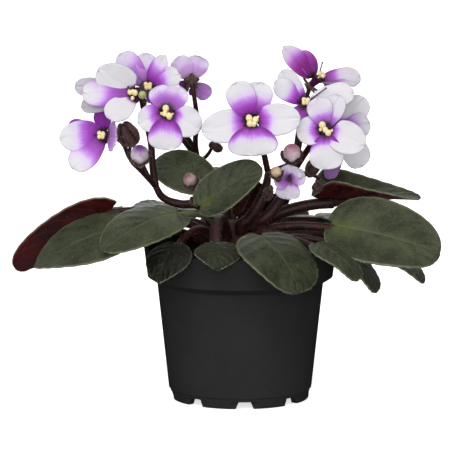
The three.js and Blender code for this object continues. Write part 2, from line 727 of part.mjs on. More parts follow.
// A spray: its stem from the crown's side, then one pedicel to each bloom, bud and husk, the hairy sepals
// that stay closed round a bud too young to show or a bloom that has dropped. Root is as for a leaf, stem is
// its bends in the front view, via the pedicel's bends, fork the bend of the stem that it leaves from, the
// last one unless it is given, and thick its radius.
const SPRAYS = [
  {
    name: "left", root: [172, 94, 40], radius: 2.9,
    stem: [[-22, 104, 1], [-33, 105, -1], [-42, 108.5, 0], [-46, 114.5, 2]],
    ways: [
      { bloom: "left_front", via: [[-47.5, 125, 2], [-48.5, 138, 2], [-51, 150, 3]], thick: 1.6 },
      { bloom: "left_low", via: [[-52, 121, 1], [-60, 130, 0], [-64, 138, -2]], thick: 1.1 },
      { bud: "left", via: [[-50, 120, 6], [-53, 126, 7]], thick: 1.1 },
      { bud: "centre", fork: 0, via: [[-23, 106, 5], [-23, 111, 7]] },
      {
        husk: { at: [-60.7, 142.4, 14], face: [-35, 50], radius: 5.8, half: 8.2 },
        via: [[-53, 122, 6], [-60, 130, 9]],
      },
      {
        husk: { at: [-24.6, 107, 13], face: [-20, 30], radius: 2.6, half: 3 },
        fork: 0, via: [[-23, 104, 8]],
      },
    ],
  },
  {
    name: "middle", root: [118, 94, 60], radius: 2.4,
    stem: [[-9, 108, -17], [-17, 120, -33], [-23, 128, -40]],
    ways: [
      { bloom: "left_behind", via: [[-24.5, 138, -34], [-23.5, 151, -16], [-25, 163, -8]], thick: 1.2 },
      { bloom: "left_middle", via: [[-28, 136, -36], [-35, 144, -12]], thick: 1.2 },
      { bloom: "left_top", via: [[-28, 140, -38], [-42, 152, -26]], thick: 1.2 },
      { husk: { at: [-12.5, 136, -34], face: [60, -20], radius: 2.4, half: 3.2 }, via: [[-18, 132, -38]] },
    ],
  },
  {
    name: "right_low", root: [286, 94, 62], radius: 3.8,
    stem: [[5, 97, 14], [10.5, 106, 15], [14, 115, 13], [15, 122, 12]],
    ways: [
      { bloom: "middle_front", via: [[12, 134, 16], [8, 143, 20]], thick: 1.3 },
      { bloom: "right_low", via: [[20, 122, 9]] },
      { bud: "right", via: [[22, 125, 6]] },
      { bud: "small", via: [[15, 121, 18]] },
      { husk: { at: [15, 110.5, 19], face: [-20, -40], radius: 2.8, half: 3.4 }, via: [[14.5, 117, 16]] },
    ],
  },
  {
    name: "right_high", root: [327, 95, 60], radius: 3.8,
    stem: [[13, 97, 9], [20, 105, 7], [26, 114, 4], [30, 124, 1]],
    ways: [
      { bloom: "right_front", via: [[36, 134, 3], [41, 141, 12]], thick: 1.2 },
      { bloom: "right_top", via: [[31, 140, -4], [34, 156, -8]], thick: 1.2 },
      { bloom: "right_middle", via: [[33, 142, -2]], thick: 1.2 },
      { bloom: "right_back", via: [[40, 138, -8], [48, 145, -12]], thick: 1.2 },
      { husk: { at: [39, 124.6, 10], face: [40, 60], radius: 3.8, half: 5 }, via: [[33, 121, 4]] },
      {
        husk: { at: [41.5, 114, 12], face: [-30, -30], radius: 2.6, half: 3 },
        via: [[36, 121, 5], [42, 119, 9]],
      },
    ],
  },
];

// What a pedicel leads to: its middle, the way that it faces, the calyx's place behind it and its sepals.
function headOf(way) {
  const bloom = BLOOMS.find((each) => each.name === way.bloom);
  if (bloom) {
    return { ...bloomPlace(bloom), depth: TUBE_LENGTH, sepal: SEPAL_LENGTH };
  }
  const bud = way.husk ?? BUDS.find((each) => each.name === way.bud);
  const depth = way.husk ? bud.half * HUSK_SEAT : bud.half;
  return { centre: seen(...bud.at), face: facing(...bud.face), depth, sepal: bud.radius * BUD_SEPAL_SPREAD };
}

function spraySolid(spray) {
  const { root, heading } = crownSeat(spray.root, spray.radius);
  const above = root.clone().addScaledVector(heading, 3);
  const stem = spray.stem.map((place) => seen(...place));
  const slim = (share) => THREE.MathUtils.lerp(spray.radius, PEDUNCLE_END_RADIUS, share * share);
  const stemCurve = new THREE.CatmullRomCurve3([root, above, ...stem]);
  const solids = [tubeSolid(stemCurve, PEDUNCLE_STEPS, PETIOLE_SIDES, slim)];
  for (const way of spray.ways) {
    const { centre, face, depth, sepal } = headOf(way);
    const { thick = PEDICEL_RADIUS, husk, fork = stem.length - 1 } = way;
    const calyx = calyxSolid(centre, face, depth, sepal);
    solids.push(calyx.solid);
    if (husk) {
      solids.push(egg(centre, face, new THREE.Vector3(husk.radius, husk.half, husk.radius), 6, 4));
    }
    const bends = way.via.map((place) => seen(...place));
    const route = new THREE.CatmullRomCurve3([stem[fork], ...bends, calyx.seat]);
    const taper = (share) => THREE.MathUtils.lerp(thick * PEDICEL_TAPER, thick, share);
    solids.push(tubeSolid(route, way.via.length + 2, PEDICEL_SIDES, taper));
  }
  return fused(spray.name, solids);
}

const violet = new THREE.Group();
violet.name = "potted_african_violet";
violet.add(meshOf("pot", potSolid(), COLOURS.pot, 0.55));
violet.add(meshOf("soil", soilSolid(), COLOURS.soil, 0.95));
violet.add(meshOf("crown", crownSolid(), COLOURS.crown, 0.9));
for (const leaf of LEAVES) {
  violet.add(meshOf(leaf.name, leafSolid(leaf), COLOURS.leaf, 0.7));
}
for (const spray of SPRAYS) {
  violet.add(meshOf(`stalk_${spray.name}`, spraySolid(spray), COLOURS.stalk, 0.8));
}
for (const bloom of BLOOMS) {
  violet.add(meshOf(`corolla_${bloom.name}`, corollaSolid(bloom), COLOURS.petal, 0.6));
}
for (const bloom of OPEN_BLOOMS) {
  violet.add(meshOf(`anthers_${bloom.name}`, antherSolid(bloom), COLOURS.anther, 0.6));
}
for (const bud of BUDS) {
  violet.add(meshOf(`bud_${bud.name}`, budSolid(bud), COLOURS.bud, 0.8));
}

export default violet;
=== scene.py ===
"""A potted African violet: every piece is made finer than its solid, and dressed for the studio."""

import logging
import math
from contextlib import contextmanager
from dataclasses import dataclass, field
from enum import Enum
from functools import partial, reduce
from typing import Any, Callable, Iterator, Sequence

import bpy
import numpy as np
from mathutils import Matrix, Vector, noise


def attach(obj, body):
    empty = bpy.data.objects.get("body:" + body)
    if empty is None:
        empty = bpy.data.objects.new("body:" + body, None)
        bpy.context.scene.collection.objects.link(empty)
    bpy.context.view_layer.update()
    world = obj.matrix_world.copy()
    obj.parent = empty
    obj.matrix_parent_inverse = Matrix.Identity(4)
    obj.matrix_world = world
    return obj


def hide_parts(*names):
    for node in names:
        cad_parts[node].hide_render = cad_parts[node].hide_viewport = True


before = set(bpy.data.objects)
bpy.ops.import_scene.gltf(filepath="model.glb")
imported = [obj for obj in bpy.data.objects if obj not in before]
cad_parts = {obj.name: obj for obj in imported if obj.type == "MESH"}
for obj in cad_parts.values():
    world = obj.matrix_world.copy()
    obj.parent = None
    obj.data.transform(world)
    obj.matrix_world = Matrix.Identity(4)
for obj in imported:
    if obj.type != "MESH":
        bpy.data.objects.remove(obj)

LOG = logging.getLogger("violet")
MM = 0.001
VIEW_TILT = math.radians(9.4)
BODY = "root"
UP = Vector((0, 0, 1))
Place = tuple[float, float, float]
Piece = bpy.types.Object
Socket = bpy.types.NodeSocket


def seen(right: float, rise: float, ahead: float) -> Vector:
    """A place that is given as it is seen from the front.

    Args:
        right: Millimetres to the right of the pot's axis.
        rise: Millimetres up in the view.
        ahead: Millimetres in front of the pot's axis.

    Returns:
        The place in metres.
    """
    height = (rise + ahead * math.sin(VIEW_TILT)) / math.cos(VIEW_TILT)
    return Vector((right, -ahead, height)) * MM


def facing(yaw: float, pitch: float) -> Vector:
    """The way that a bloom faces.

    Args:
        yaw: Degrees from the viewer to the right.
        pitch: Degrees upwards.

    Returns:
        A unit vector.
    """
    turn, lift = math.radians(yaw), math.radians(pitch)
    return Vector((math.sin(turn) * math.cos(lift), -math.cos(turn) * math.cos(lift), math.sin(lift)))


def paint(code: str) -> tuple[float, float, float, float]:
    """A colour as the shader reads it, by the standard curve of screen colours.

    Args:
        code: Six hexadecimal digits.

    Returns:
        Linear red, green and blue, and full alpha.
    """
    shares = [int(code[i:i + 2], 16) / 255 for i in (0, 2, 4)]
    red, green, blue = (c / 12.92 if c < 0.04045 else ((c + 0.055) / 1.055) ** 2.4 for c in shares)
    return (red, green, blue, 1.0)


# Modelling by hand


def deselect_all() -> None:
    """Leaves object mode with nothing selected."""
    if bpy.context.object and bpy.context.object.mode != "OBJECT":
        bpy.ops.object.mode_set(mode="OBJECT")
    bpy.ops.object.select_all(action="DESELECT")


def select_only(piece: Piece) -> None:
    """Selects one piece and makes it active.

    Args:
        piece: The piece.
    """
    deselect_all()
    piece.select_set(True)
    bpy.context.view_layer.objects.active = piece


@contextmanager
def editing(piece: Piece, everything: bool = True) -> Iterator[None]:
    """Keeps a piece in edit mode.

    Args:
        piece: The piece.
        everything: Whether its whole mesh is selected at the start.

    Yields:
        Nothing.
    """
    select_only(piece)
    bpy.ops.object.mode_set(mode="EDIT")
    if everything:
        bpy.ops.mesh.select_all(action="SELECT")
    yield
    bpy.ops.object.mode_set(mode="OBJECT")


def drawn(operator: Callable[..., set[str]], name: str, **settings: Any) -> Piece:
    """Starts a piece with one of Blender's own forms.

    Args:
        operator: The operator that adds the form.
        name: The piece's name.
        settings: Values for the operator.

    Returns:
        The piece.
    """
    deselect_all()
    operator(**settings)
    piece = bpy.context.object
    piece.name = name
    return piece


def fix_place(piece: Piece) -> None:
    """Puts a piece's place, turn and scale in its mesh."""
    select_only(piece)
    bpy.ops.object.transform_apply(location=True, rotation=True, scale=True)


def apply_modifier(piece: Piece, kind: str, **settings: Any) -> None:
    """Adds one modifier and applies it.

    Args:
        piece: The piece.
        kind: The modifier's type.
        settings: Values for the modifier.
    """
    select_only(piece)
    modifier = piece.modifiers.new(kind.lower(), kind)
    for name, value in settings.items():
        setattr(modifier, name, value)
    bpy.ops.object.modifier_apply(modifier=modifier.name)


def seal(piece: Piece, merge: float = 1e-6) -> None:
    """Merges doubles and turns every face outwards.

    Args:
        piece: The piece.
        merge: Distance in metres under which points merge.
    """
    with editing(piece):
        bpy.ops.mesh.remove_doubles(threshold=merge)
        bpy.ops.mesh.normals_make_consistent(inside=False)


def smooth(piece: Piece, degrees: float | None = None) -> None:
    """Shades a piece smooth.

    Args:
        piece: The piece.
        degrees: Edges sharper than this stay sharp; none do if it is left out.
    """
    select_only(piece)
    if degrees is None:
        bpy.ops.object.shade_smooth()
    else:
        bpy.ops.object.shade_smooth_by_angle(angle=math.radians(degrees))


def join(pieces: Sequence[Piece], name: str) -> Piece:
    """Joins pieces in one object.

    Args:
        pieces: The pieces; the first one keeps its material slots in front.
        name: The joined object's name.

    Returns:
        The joined object.
    """
    deselect_all()
    for piece in pieces:
        piece.select_set(True)
    bpy.context.view_layer.objects.active = pieces[0]
    if len(pieces) > 1:
        bpy.ops.object.join()
    whole = bpy.context.view_layer.objects.active
    whole.name = whole.data.name = name
    return whole


def discard(piece: Piece) -> None:
    """Removes a piece that served as a pattern or a cutter."""
    bpy.data.objects.remove(piece, do_unlink=True)


def points_of(piece: Piece) -> np.ndarray:
    """The places of a mesh's points.

    Args:
        piece: The piece.

    Returns:
        One row for each point.
    """
    flat = np.empty(len(piece.data.vertices) * 3)
    piece.data.vertices.foreach_get("co", flat)
    return flat.reshape(-1, 3)


def move_points(piece: Piece, places: np.ndarray) -> None:
    """Moves a mesh's points to the given rows."""
    piece.data.vertices.foreach_set("co", places.astype(np.float32).ravel())
    piece.data.update()


def mark(piece: Piece, **values: float | np.ndarray) -> None:
    """Writes named attributes to a mesh's points.

    Args:
        piece: The piece.
        values: For each name one value, or one for each point.
    """
    for name, value in values.items():
        layer = piece.data.attributes.get(name) or piece.data.attributes.new(name, "FLOAT", "POINT")
        row = np.broadcast_to(np.asarray(value, dtype=np.float32), len(piece.data.vertices))
        layer.data.foreach_set("value", np.ascontiguousarray(row))


def repeat_mesh(piece: Piece, copies: np.ndarray) -> None:
    """Gives a piece a mesh of many moved copies of itself.

    Args:
        piece: The piece.
        copies: For each copy, a row for each of the piece's points.
    """
    faces = [tuple(face.vertices) for face in piece.data.polygons]
    count, size = copies.shape[:2]
    mesh = bpy.data.meshes.new(piece.name)
    everything = [tuple(corner + k * size for corner in face) for k in range(count) for face in faces]
    mesh.from_pydata(copies.reshape(-1, 3).tolist(), [], everything)
    mesh.uv_layers.new(name="UVMap")
    piece.data = mesh


def hand_over(piece: Piece, node: str) -> Piece:
    """Gives a finished piece to the frame.

    Args:
        piece: The piece, in place.
        node: The solid that the piece stands for.

    Returns:
        The piece.
    """
    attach(piece, BODY)
    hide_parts(node)
    LOG.info("%s: %d faces", piece.name, len(piece.data.polygons))
    return piece


def turned_shell(name: str, profile: Sequence[tuple[float, float]], sides: int) -> Piece:
    """A closed shell drawn ring by ring round the Z axis.

    Args:
        name: The piece's name.
        profile: Radius and height of each ring in millimetres, from one pole to the other.
        sides: Points in a ring.

    Returns:
        The shell, with its first and last ring filled.
    """
    radius, height = profile[0]
    shell = drawn(
        bpy.ops.mesh.primitive_circle_add, name,
        vertices=sides, radius=radius * MM, location=(0, 0, height * MM), fill_type="NGON",
    )
    fix_place(shell)
    with editing(shell):
        for next_radius, next_height in profile[1:]:
            step = (0, 0, (next_height - height) * MM)
            bpy.ops.mesh.extrude_region_move(TRANSFORM_OT_translate={"value": step})
            share = next_radius / radius
            bpy.ops.transform.resize(value=(share, share, 1), center_override=(0, 0, next_height * MM))
            radius, height = next_radius, next_height
    seal(shell)
    return shell


def tube(name: str, stops: Sequence[Vector], radii: Sequence[float], sides: int) -> Piece:
    """A round tube that bends smoothly through its stops.

    Args:
        name: The piece's name.
        stops: Places in metres.
        radii: The radius at each stop in millimetres.
        sides: Faces round the tube, an even number.

    Returns:
        The tube as a closed mesh.
    """
    wire = drawn(bpy.ops.curve.primitive_bezier_curve_add, name)
    points = wire.data.splines[0].bezier_points
    points.add(len(stops) - len(points))
    for point, stop, radius in zip(points, stops, radii):
        point.co = stop
        point.radius = radius
        point.handle_left_type = point.handle_right_type = "AUTO"
    wire.data.dimensions = "3D"
    wire.data.resolution_u = 6
    wire.data.bevel_depth = MM
    wire.data.bevel_resolution = sides // 2 - 2
    wire.data.use_fill_caps = True
    bpy.ops.object.convert(target="MESH")
    whole = bpy.context.object
    seal(whole)
    return whole


def egg(name: str, centre: Vector, along: Vector, across: float, half: float, fine: int) -> Piece:
    """An egg that points along a direction.

    Args:
        name: The piece's name.
        centre: Its middle in metres.
        along: The way that it points.
        across: Radius in millimetres.
        half: Half its length in millimetres.
        fine: Segments round it.

    Returns:
        The egg, in place.
    """
    rings = fine * 3 // 4
    piece = drawn(bpy.ops.mesh.primitive_uv_sphere_add, name, segments=fine, ring_count=rings, radius=MM)
    piece.scale = (across, across, half)
    piece.rotation_mode = "QUATERNION"
    piece.rotation_quaternion = along.to_track_quat("Z", "Y")
    piece.location = centre
    fix_place(piece)
    return piece


# Shaders


VECTOR, FLOAT, COLOUR = "NodeSocketVector", "NodeSocketFloat", "NodeSocketColor"
WHITE, BLACK = (1, 1, 1, 1), (0, 0, 0, 1)


class Sheet:
    """A node tree that is filled node by node; each value given to it is a number, a colour or a socket."""

    def __init__(self, tree: bpy.types.NodeTree) -> None:
        """Keeps the tree to fill."""
        self.tree = tree

    def add(self, kind: str, feeds: dict[Any, Any] | None = None, **settings: Any) -> bpy.types.Node:
        """Adds a node.

        Args:
            kind: The node's type.
            feeds: Values or sockets for its inputs.
            settings: Values for its own properties.

        Returns:
            The node.
        """
        node = self.tree.nodes.new(kind)
        for name, value in settings.items():
            setattr(node, name, value)
        for key, value in (feeds or {}).items():
            self.feed(node.inputs[key], value)
        return node

    def feed(self, socket: Socket, value: Any) -> None:
        """Links a socket or sets its value.

        Args:
            socket: The input.
            value: A socket or a plain value.
        """
        if isinstance(value, Socket):
            self.tree.links.new(value, socket)
        else:
            socket.default_value = value

    def maths(self, operation: str, first: Any, second: Any = 0.0, clamp: bool = False) -> Socket:
        """The result of a Math node."""
        feeds = {0: first, 1: second}
        return self.add("ShaderNodeMath", feeds, operation=operation, use_clamp=clamp).outputs[0]

    def times(self, *values: Any) -> Socket:
        """The product of some values."""
        return reduce(partial(self.maths, "MULTIPLY"), values)

    def plus(self, *values: Any) -> Socket:
        """The sum of some values."""
        return reduce(partial(self.maths, "ADD"), values)

    def minus(self, first: Any, second: Any) -> Socket:
        """The first value less the second."""
        return self.maths("SUBTRACT", first, second)

    def blend(self, share: Any, first: Any, second: Any, kind: str = "MIX") -> Socket:
        """The result of a colour Mix node."""
        feeds = {0: share, 6: first, 7: second}
        return self.add("ShaderNodeMix", feeds, data_type="RGBA", blend_type=kind).outputs[2]

    def band(self, value: Any, low: float, high: float, start: float = 0.0, end: float = 1.0) -> Socket:
        """A smooth step of a value from low to high, given as start to end."""
        feeds = {0: value, 1: low, 2: high, 3: start, 4: end}
        return self.add("ShaderNodeMapRange", feeds, interpolation_type="SMOOTHSTEP").outputs[0]

    def speckle(self, vector: Any, scale: Any, detail: float) -> Socket:
        """The value of a Noise Texture."""
        return self.add("ShaderNodeTexNoise", {"Vector": vector, "Scale": scale, "Detail": detail}).outputs[0]

    def cells(self, vector: Any, scale: Any, kind: str = "F1") -> Socket:
        """The distance of a Voronoi Texture."""
        return self.add("ShaderNodeTexVoronoi", {"Vector": vector, "Scale": scale}, feature=kind).outputs[0]

    def parts(self, vector: Any) -> Sequence[Socket]:
        """The three parts of a vector."""
        return self.add("ShaderNodeSeparateXYZ", {0: vector}).outputs

    def from_midline(self, side: Any) -> Socket:
        """How far a UV value is from the middle of its map, 0 there and 1 at either side."""
        return self.times(self.maths("ABSOLUTE", self.minus(side, 0.5)), 2.0)

    def ramp(self, value: Any, stops: Sequence[tuple[float, str]]) -> Socket:
        """A colour from a ramp.

        Args:
            value: The place on the ramp.
            stops: Places and colour codes, at least two.

        Returns:
            The colour.
        """
        node = self.add("ShaderNodeValToRGB", {0: value})
        elements = node.color_ramp.elements
        while len(elements) < len(stops):
            elements.new(1.0)
        for element, (place, code) in zip(elements, stops):
            element.position = place
            element.color = paint(code)
        return node.outputs[0]

    def attribute(self, name: str) -> Socket:
        """The value that the mesh keeps for its points under a name."""
        return self.add("ShaderNodeAttribute", attribute_name=name).outputs["Fac"]


Sockets = dict[str, Any]


@dataclass(frozen=True)
class Effect:
    """A shared node group: its name, the types of its sockets, and what fills it."""

    name: str
    inputs: dict[str, str]
    outputs: dict[str, str]
    fill: Callable[[Sheet, Sockets], Sockets]

    def tree(self) -> bpy.types.NodeTree:
        """Builds the group once.

        Returns:
            The group.
        """
        known = bpy.data.node_groups.get(self.name)
        if known:
            return known
        tree = bpy.data.node_groups.new(self.name, "ShaderNodeTree")
        for way, sockets in (("INPUT", self.inputs), ("OUTPUT", self.outputs)):
            for label, kind in sockets.items():
                tree.interface.new_socket(label, in_out=way, socket_type=kind)
        sheet = Sheet(tree)
        source = sheet.add("NodeGroupInput")
        results = self.fill(sheet, {label: source.outputs[label] for label in self.inputs})
        sheet.add("NodeGroupOutput", results)
        return tree

    def place(self, sheet: Sheet, **feeds: Any) -> Sequence[Socket]:
        """Places the group in a material and gives its outputs; an underscore in a label is a blank."""
        given = {label.replace("_", " "): value for label, value in feeds.items()}
        return sheet.add("ShaderNodeGroup", given, node_tree=self.tree()).outputs


def fill_mottle(sheet: Sheet, given: Sockets) -> Sockets:
    """Two colours that drift into each other in soft patches and fine specks.

    Args:
        sheet: The group's nodes.
        given: Its inputs.

    Returns:
        Its outputs.
    """
    broad = sheet.speckle(given["Vector"], given["Scale"], 2.0)
    fine = sheet.speckle(given["Vector"], sheet.times(given["Scale"], 9.0), 4.0)
    mask = sheet.band(sheet.plus(sheet.times(broad, 0.65), sheet.times(fine, 0.35)), low=0.36, high=0.64)
    return {"Colour": sheet.blend(mask, given["Low"], given["High"]), "Mask": mask}


def fill_grain(sheet: Sheet, given: Sockets) -> Sockets:
    """A fine uneven height with pores, such as on moulded plastic, peat or skin.

    Args:
        sheet: The group's nodes.
        given: Its inputs.

    Returns:
        Its outputs.
    """
    cloud = sheet.speckle(given["Vector"], given["Scale"], 5.0)
    pores = sheet.cells(given["Vector"], given["Scale"])
    return {"Height": sheet.plus(cloud, sheet.times(pores, 0.5))}


def fill_veins(sheet: Sheet, given: Sockets) -> Sockets:
    """The midrib, side veins and quilted cells of a blade, drawn on its own UV map.

    Args:
        sheet: The group's nodes.
        given: Its inputs.

    Returns:
        Its outputs.
    """
    along, side = sheet.parts(given["UV"])[:2]
    across = sheet.from_midline(side)
    rib_width = sheet.band(along, 0.0, 1.0, start=0.07, end=0.025)
    rib = sheet.maths("SUBTRACT", 1.0, sheet.maths("DIVIDE", across, rib_width), clamp=True)
    wander = sheet.times(sheet.speckle(given["UV"], 7.0, 1.0), 0.06)
    sweep = sheet.times(sheet.maths("POWER", across, VEIN_CURVE), given["Sweep"])
    lane = sheet.plus(sheet.minus(along, sweep), wander)
    offset = sheet.maths("PINGPONG", sheet.times(lane, given["Pairs"]), 0.5)
    veins = sheet.band(offset, 0.0, 0.12, start=1.0, end=0.0)
    cells = sheet.cells(given["Vector"], given["Cell Scale"], "SMOOTH_F1")
    puff = sheet.plus(sheet.band(offset, 0.0, 0.5), sheet.band(cells, 0.0, 0.7, start=0.5, end=0.0))
    quilt = sheet.minus(puff, sheet.times(rib, 0.6))
    return {"Along": along, "Across": across, "Rib": rib, "Veins": veins, "Quilt": quilt}


VEIN_PAIRS, VEIN_SWEEP, VEIN_CURVE = 6.5, 0.28, 1.3
MOTTLE = Effect(
    "Mottle", {"Vector": VECTOR, "Scale": FLOAT, "Low": COLOUR, "High": COLOUR},
    {"Colour": COLOUR, "Mask": FLOAT}, fill_mottle,
)
GRAIN = Effect("Grain", {"Vector": VECTOR, "Scale": FLOAT}, {"Height": FLOAT}, fill_grain)
BLADE_VEINS = Effect(
    "Blade Veins", {"UV": VECTOR, "Vector": VECTOR, "Pairs": FLOAT, "Sweep": FLOAT, "Cell Scale": FLOAT},
    dict.fromkeys(("Along", "Across", "Rib", "Veins", "Quilt"), FLOAT), fill_veins,
)


@dataclass(frozen=True)
class Finish:
    """A procedural finish: two mottled colours, a grain, and the shader's own plain values.

    Scales are repeats to the metre, and the grain's depth is in millimetres. A bounce under 1 is the
    share of the finish's light that falls on other pieces.
    """

    name: str
    low: str
    high: str
    rough: float = 0.6
    mottle_scale: float = 300.0
    grain_scale: float = 900.0
    grain_depth: float = 0.05
    specular: float = 0.5
    sheen: float = 0.0
    sheen_tint: str = "ffffff"
    subsurface: float = 0.0
    emission: float = 0.0
    bounce: float = 1.0
    drift: float = 0.05

    def material(self) -> bpy.types.Material:
        """The finish as a material, built once.

        Returns:
            The material.
        """
        known = bpy.data.materials.get(self.name)
        if known:
            return known
        made = bpy.data.materials.new(self.name)
        made.use_nodes = True
        made.node_tree.nodes.clear()
        sheet = Sheet(made.node_tree)
        place = sheet.add("ShaderNodeTexCoord").outputs
        where, low, high = place["Object"], paint(self.low), paint(self.high)
        mottle = MOTTLE.place(sheet, Vector=where, Scale=self.mottle_scale, Low=low, High=high)
        grain = GRAIN.place(sheet, Vector=where, Scale=self.grain_scale)
        colour, height, roughness = self.pattern(sheet, place, mottle, grain["Height"])
        relief = {"Strength": 1.0, "Distance": self.grain_depth * MM, "Height": height}
        bump = sheet.add("ShaderNodeBump", relief)
        shader = sheet.add("ShaderNodeBsdfPrincipled", {
            "Base Color": colour, "Roughness": roughness, "Specular IOR Level": self.specular,
            "Sheen Weight": self.sheen, "Sheen Roughness": 0.4, "Sheen Tint": paint(self.sheen_tint),
            "Subsurface Weight": self.subsurface, "Subsurface Radius": (0.6, 0.4, 0.5),
            "Subsurface Scale": MM, "Normal": bump.outputs[0],
            "Emission Color": WHITE, "Emission Strength": self.emission,
        })
        sheet.add("ShaderNodeOutputMaterial", {"Surface": shader.outputs[0]})
        if self.bounce < 1:
            direct = sheet.add("ShaderNodeLightPath").outputs["Is Camera Ray"]
            share = sheet.band(direct, 0.0, 1.0, start=self.bounce, end=1.0)
            sheet.feed(shader.inputs["Base Color"], sheet.blend(share, BLACK, colour))
            sheet.feed(shader.inputs["Emission Strength"], sheet.times(share, self.emission))
        return made

    def pattern(self, sheet: Sheet, place: Any, mottle: Any, grain: Socket) -> tuple[Any, Any, Any]:
        """The colour, the height and the roughness of the finish.

        Args:
            sheet: The material's nodes.
            place: Outputs of its Texture Coordinate node; not used here.
            mottle: Outputs of its mottle group.
            grain: Height of its grain group.

        Returns:
            Sockets or values for colour, height and roughness.
        """
        return mottle["Colour"], grain, self.uneven(sheet, mottle)

    def uneven(self, sheet: Sheet, mottle: Any) -> Socket:
        """A roughness that drifts with the mottle."""
        low, high = self.rough - self.drift, self.rough + self.drift
        return sheet.band(mottle["Mask"], 0.0, 1.0, start=low, end=high)


@dataclass(frozen=True)
class LeafFinish(Finish):
    """A blade's skin with its veins; rib and vein colours, a patch by the stalk, a pale edge, and each
    leaf's painted light or shade.
    """

    rough: float = 0.5
    grain_scale: float = 1500.0
    drift: float = 0.06
    rib: str = "545c40"
    vein_share: float = 0.35
    patch: str = "66702f"
    edge: str = "7c7c60"
    quilt: float = 0.5

    def pattern(self, sheet: Sheet, place: Any, mottle: Any, grain: Socket) -> tuple[Any, Any, Any]:
        """The colour, the height and the roughness of the skin.

        Args:
            sheet: The material's nodes.
            place: Outputs of its Texture Coordinate node.
            mottle: Outputs of its mottle group.
            grain: Height of its grain group.

        Returns:
            Sockets or values for colour, height and roughness.
        """
        out = BLADE_VEINS.place(
            sheet, UV=place["UV"], Vector=place["Object"], Pairs=VEIN_PAIRS, Sweep=VEIN_SWEEP,
            Cell_Scale=330.0,
        )
        lines = sheet.maths("MAXIMUM", out["Rib"], sheet.times(out["Veins"], self.vein_share))
        colour = sheet.blend(lines, mottle["Colour"], paint(self.rib))
        by_stalk = sheet.band(out["Along"], 0.08, 0.34, start=1.0, end=0.0)
        by_midrib = sheet.band(out["Across"], 0.1, 0.6, start=1.0, end=0.0)
        glow = sheet.times(by_stalk, by_midrib, sheet.attribute("glow"))
        colour = sheet.blend(glow, colour, paint(self.patch))
        rim = sheet.times(sheet.band(out["Across"], 0.93, 1.0), 0.8)
        colour = sheet.blend(rim, colour, paint(self.edge))
        # painted light: each leaf's colour value is scaled down where the leaf lies in shade, and up where it
        # is fully lit
        toned = {"Value": sheet.attribute("tone"), "Color": colour}
        colour = sheet.add("ShaderNodeHueSaturation", toned).outputs[0]
        height = sheet.plus(sheet.times(out["Quilt"], self.quilt), sheet.times(grain, 0.3))
        return colour, height, self.uneven(sheet, mottle)


@dataclass(frozen=True)
class StalkFinish(Finish):
    """A stalk's skin, which some leaves have in green."""

    green: str = "66724a"

    def pattern(self, sheet: Sheet, place: Any, mottle: Any, grain: Socket) -> tuple[Any, Any, Any]:
        """The colour, the height and the roughness of the skin, with arguments and results as in Finish."""
        share = sheet.times(sheet.attribute("green"), 0.85)
        return sheet.blend(share, mottle["Colour"], paint(self.green)), grain, self.rough


@dataclass(frozen=True)
class PetalFinish(Finish):
    """A petal: almost black in the throat, as painted shade over its deep violet, then violet, and white
    from its reach outwards.

    Each stop is a share of the petal's reach, and the last field is as far as the ramp goes.
    """

    # painted shade: the near-black of the throat, over the petal's own deep violet
    throat: str = "2a0c1c"
    blush: str = "d8408c"
    # painted shade: the grey-lilac that a petal's shade value multiplies into its colour
    shade: str = "b9a9bd"
    wash: str = "c9b0dc"
    edge: str = "a598ae"
    stops: tuple[tuple[float, str], ...] = (
        (0.0, "6c1a7c"), (0.55, "842098"), (0.8, "9a3cb4"), (1.0, "b066d0"), (1.15, "c796e2"),
        (1.32, "d9c8e5"), (1.6, "d9d7dc"),
    )
    farthest: float = 1.7

    def pattern(self, sheet: Sheet, place: Any, mottle: Any, grain: Socket) -> tuple[Any, Any, Any]:
        """The colour, the height and the roughness of the petal.

        Args:
            sheet: The material's nodes.
            place: Outputs of its Texture Coordinate node.
            mottle: Outputs of its mottle group; not used.
            grain: Height of its grain group.

        Returns:
            Sockets or values for colour, height and roughness.
        """
        along, side = sheet.parts(place["UV"])[:2]
        across = sheet.from_midline(side)
        fan = sheet.add("ShaderNodeCombineXYZ", {0: sheet.times(side, 16.0), 1: sheet.times(along, 1.5)})
        streak = sheet.speckle(fan.outputs[0], 1.0, 3.0)
        cloud = sheet.speckle(place["Object"], 160.0, 2.0)
        streaked = sheet.times(sheet.minus(streak, 0.5), 2.2)
        drift = sheet.plus(streaked, sheet.times(sheet.minus(cloud, 0.5), 3.4))
        distance = sheet.plus(sheet.attribute("heart"), drift)
        depth = sheet.minus(distance, sheet.times(sheet.attribute("rim"), sheet.maths("POWER", across, 2.5)))
        share = sheet.maths("DIVIDE", depth, sheet.times(sheet.attribute("reach"), self.farthest))
        colour = sheet.ramp(share, [(stop / self.farthest, code) for stop, code in self.stops])
        # painted shade: petals darken to almost black near the throat, where the flower's hollow lies in
        # shade
        throat_shade = sheet.band(distance, 3.4, 6.6, start=1.0, end=0.0)
        colour = sheet.blend(throat_shade, colour, paint(self.throat))
        flushed = sheet.times(sheet.attribute("pink"), sheet.band(share, 0.3, 0.9, start=0.8, end=0.0))
        colour = sheet.blend(flushed, colour, paint(self.blush), "MULTIPLY")
        washed = sheet.times(sheet.attribute("pale"), sheet.band(depth, 2.0, 6.0, start=0.0, end=0.8))
        colour = sheet.blend(washed, colour, paint(self.wash))
        ends = sheet.maths("MAXIMUM", sheet.band(across, 0.94, 1.0), sheet.band(along, 0.97, 1.0))
        colour = sheet.blend(sheet.times(ends, 0.6), colour, paint(self.edge))
        # painted shade: petals that lie in shadow are greyed and darkened
        painted_shade = sheet.times(sheet.attribute("shade"), 0.75)
        colour = sheet.blend(painted_shade, colour, paint(self.shade), "MULTIPLY")
        return colour, sheet.plus(sheet.times(streak, 1.4), sheet.times(grain, 0.3)), self.rough


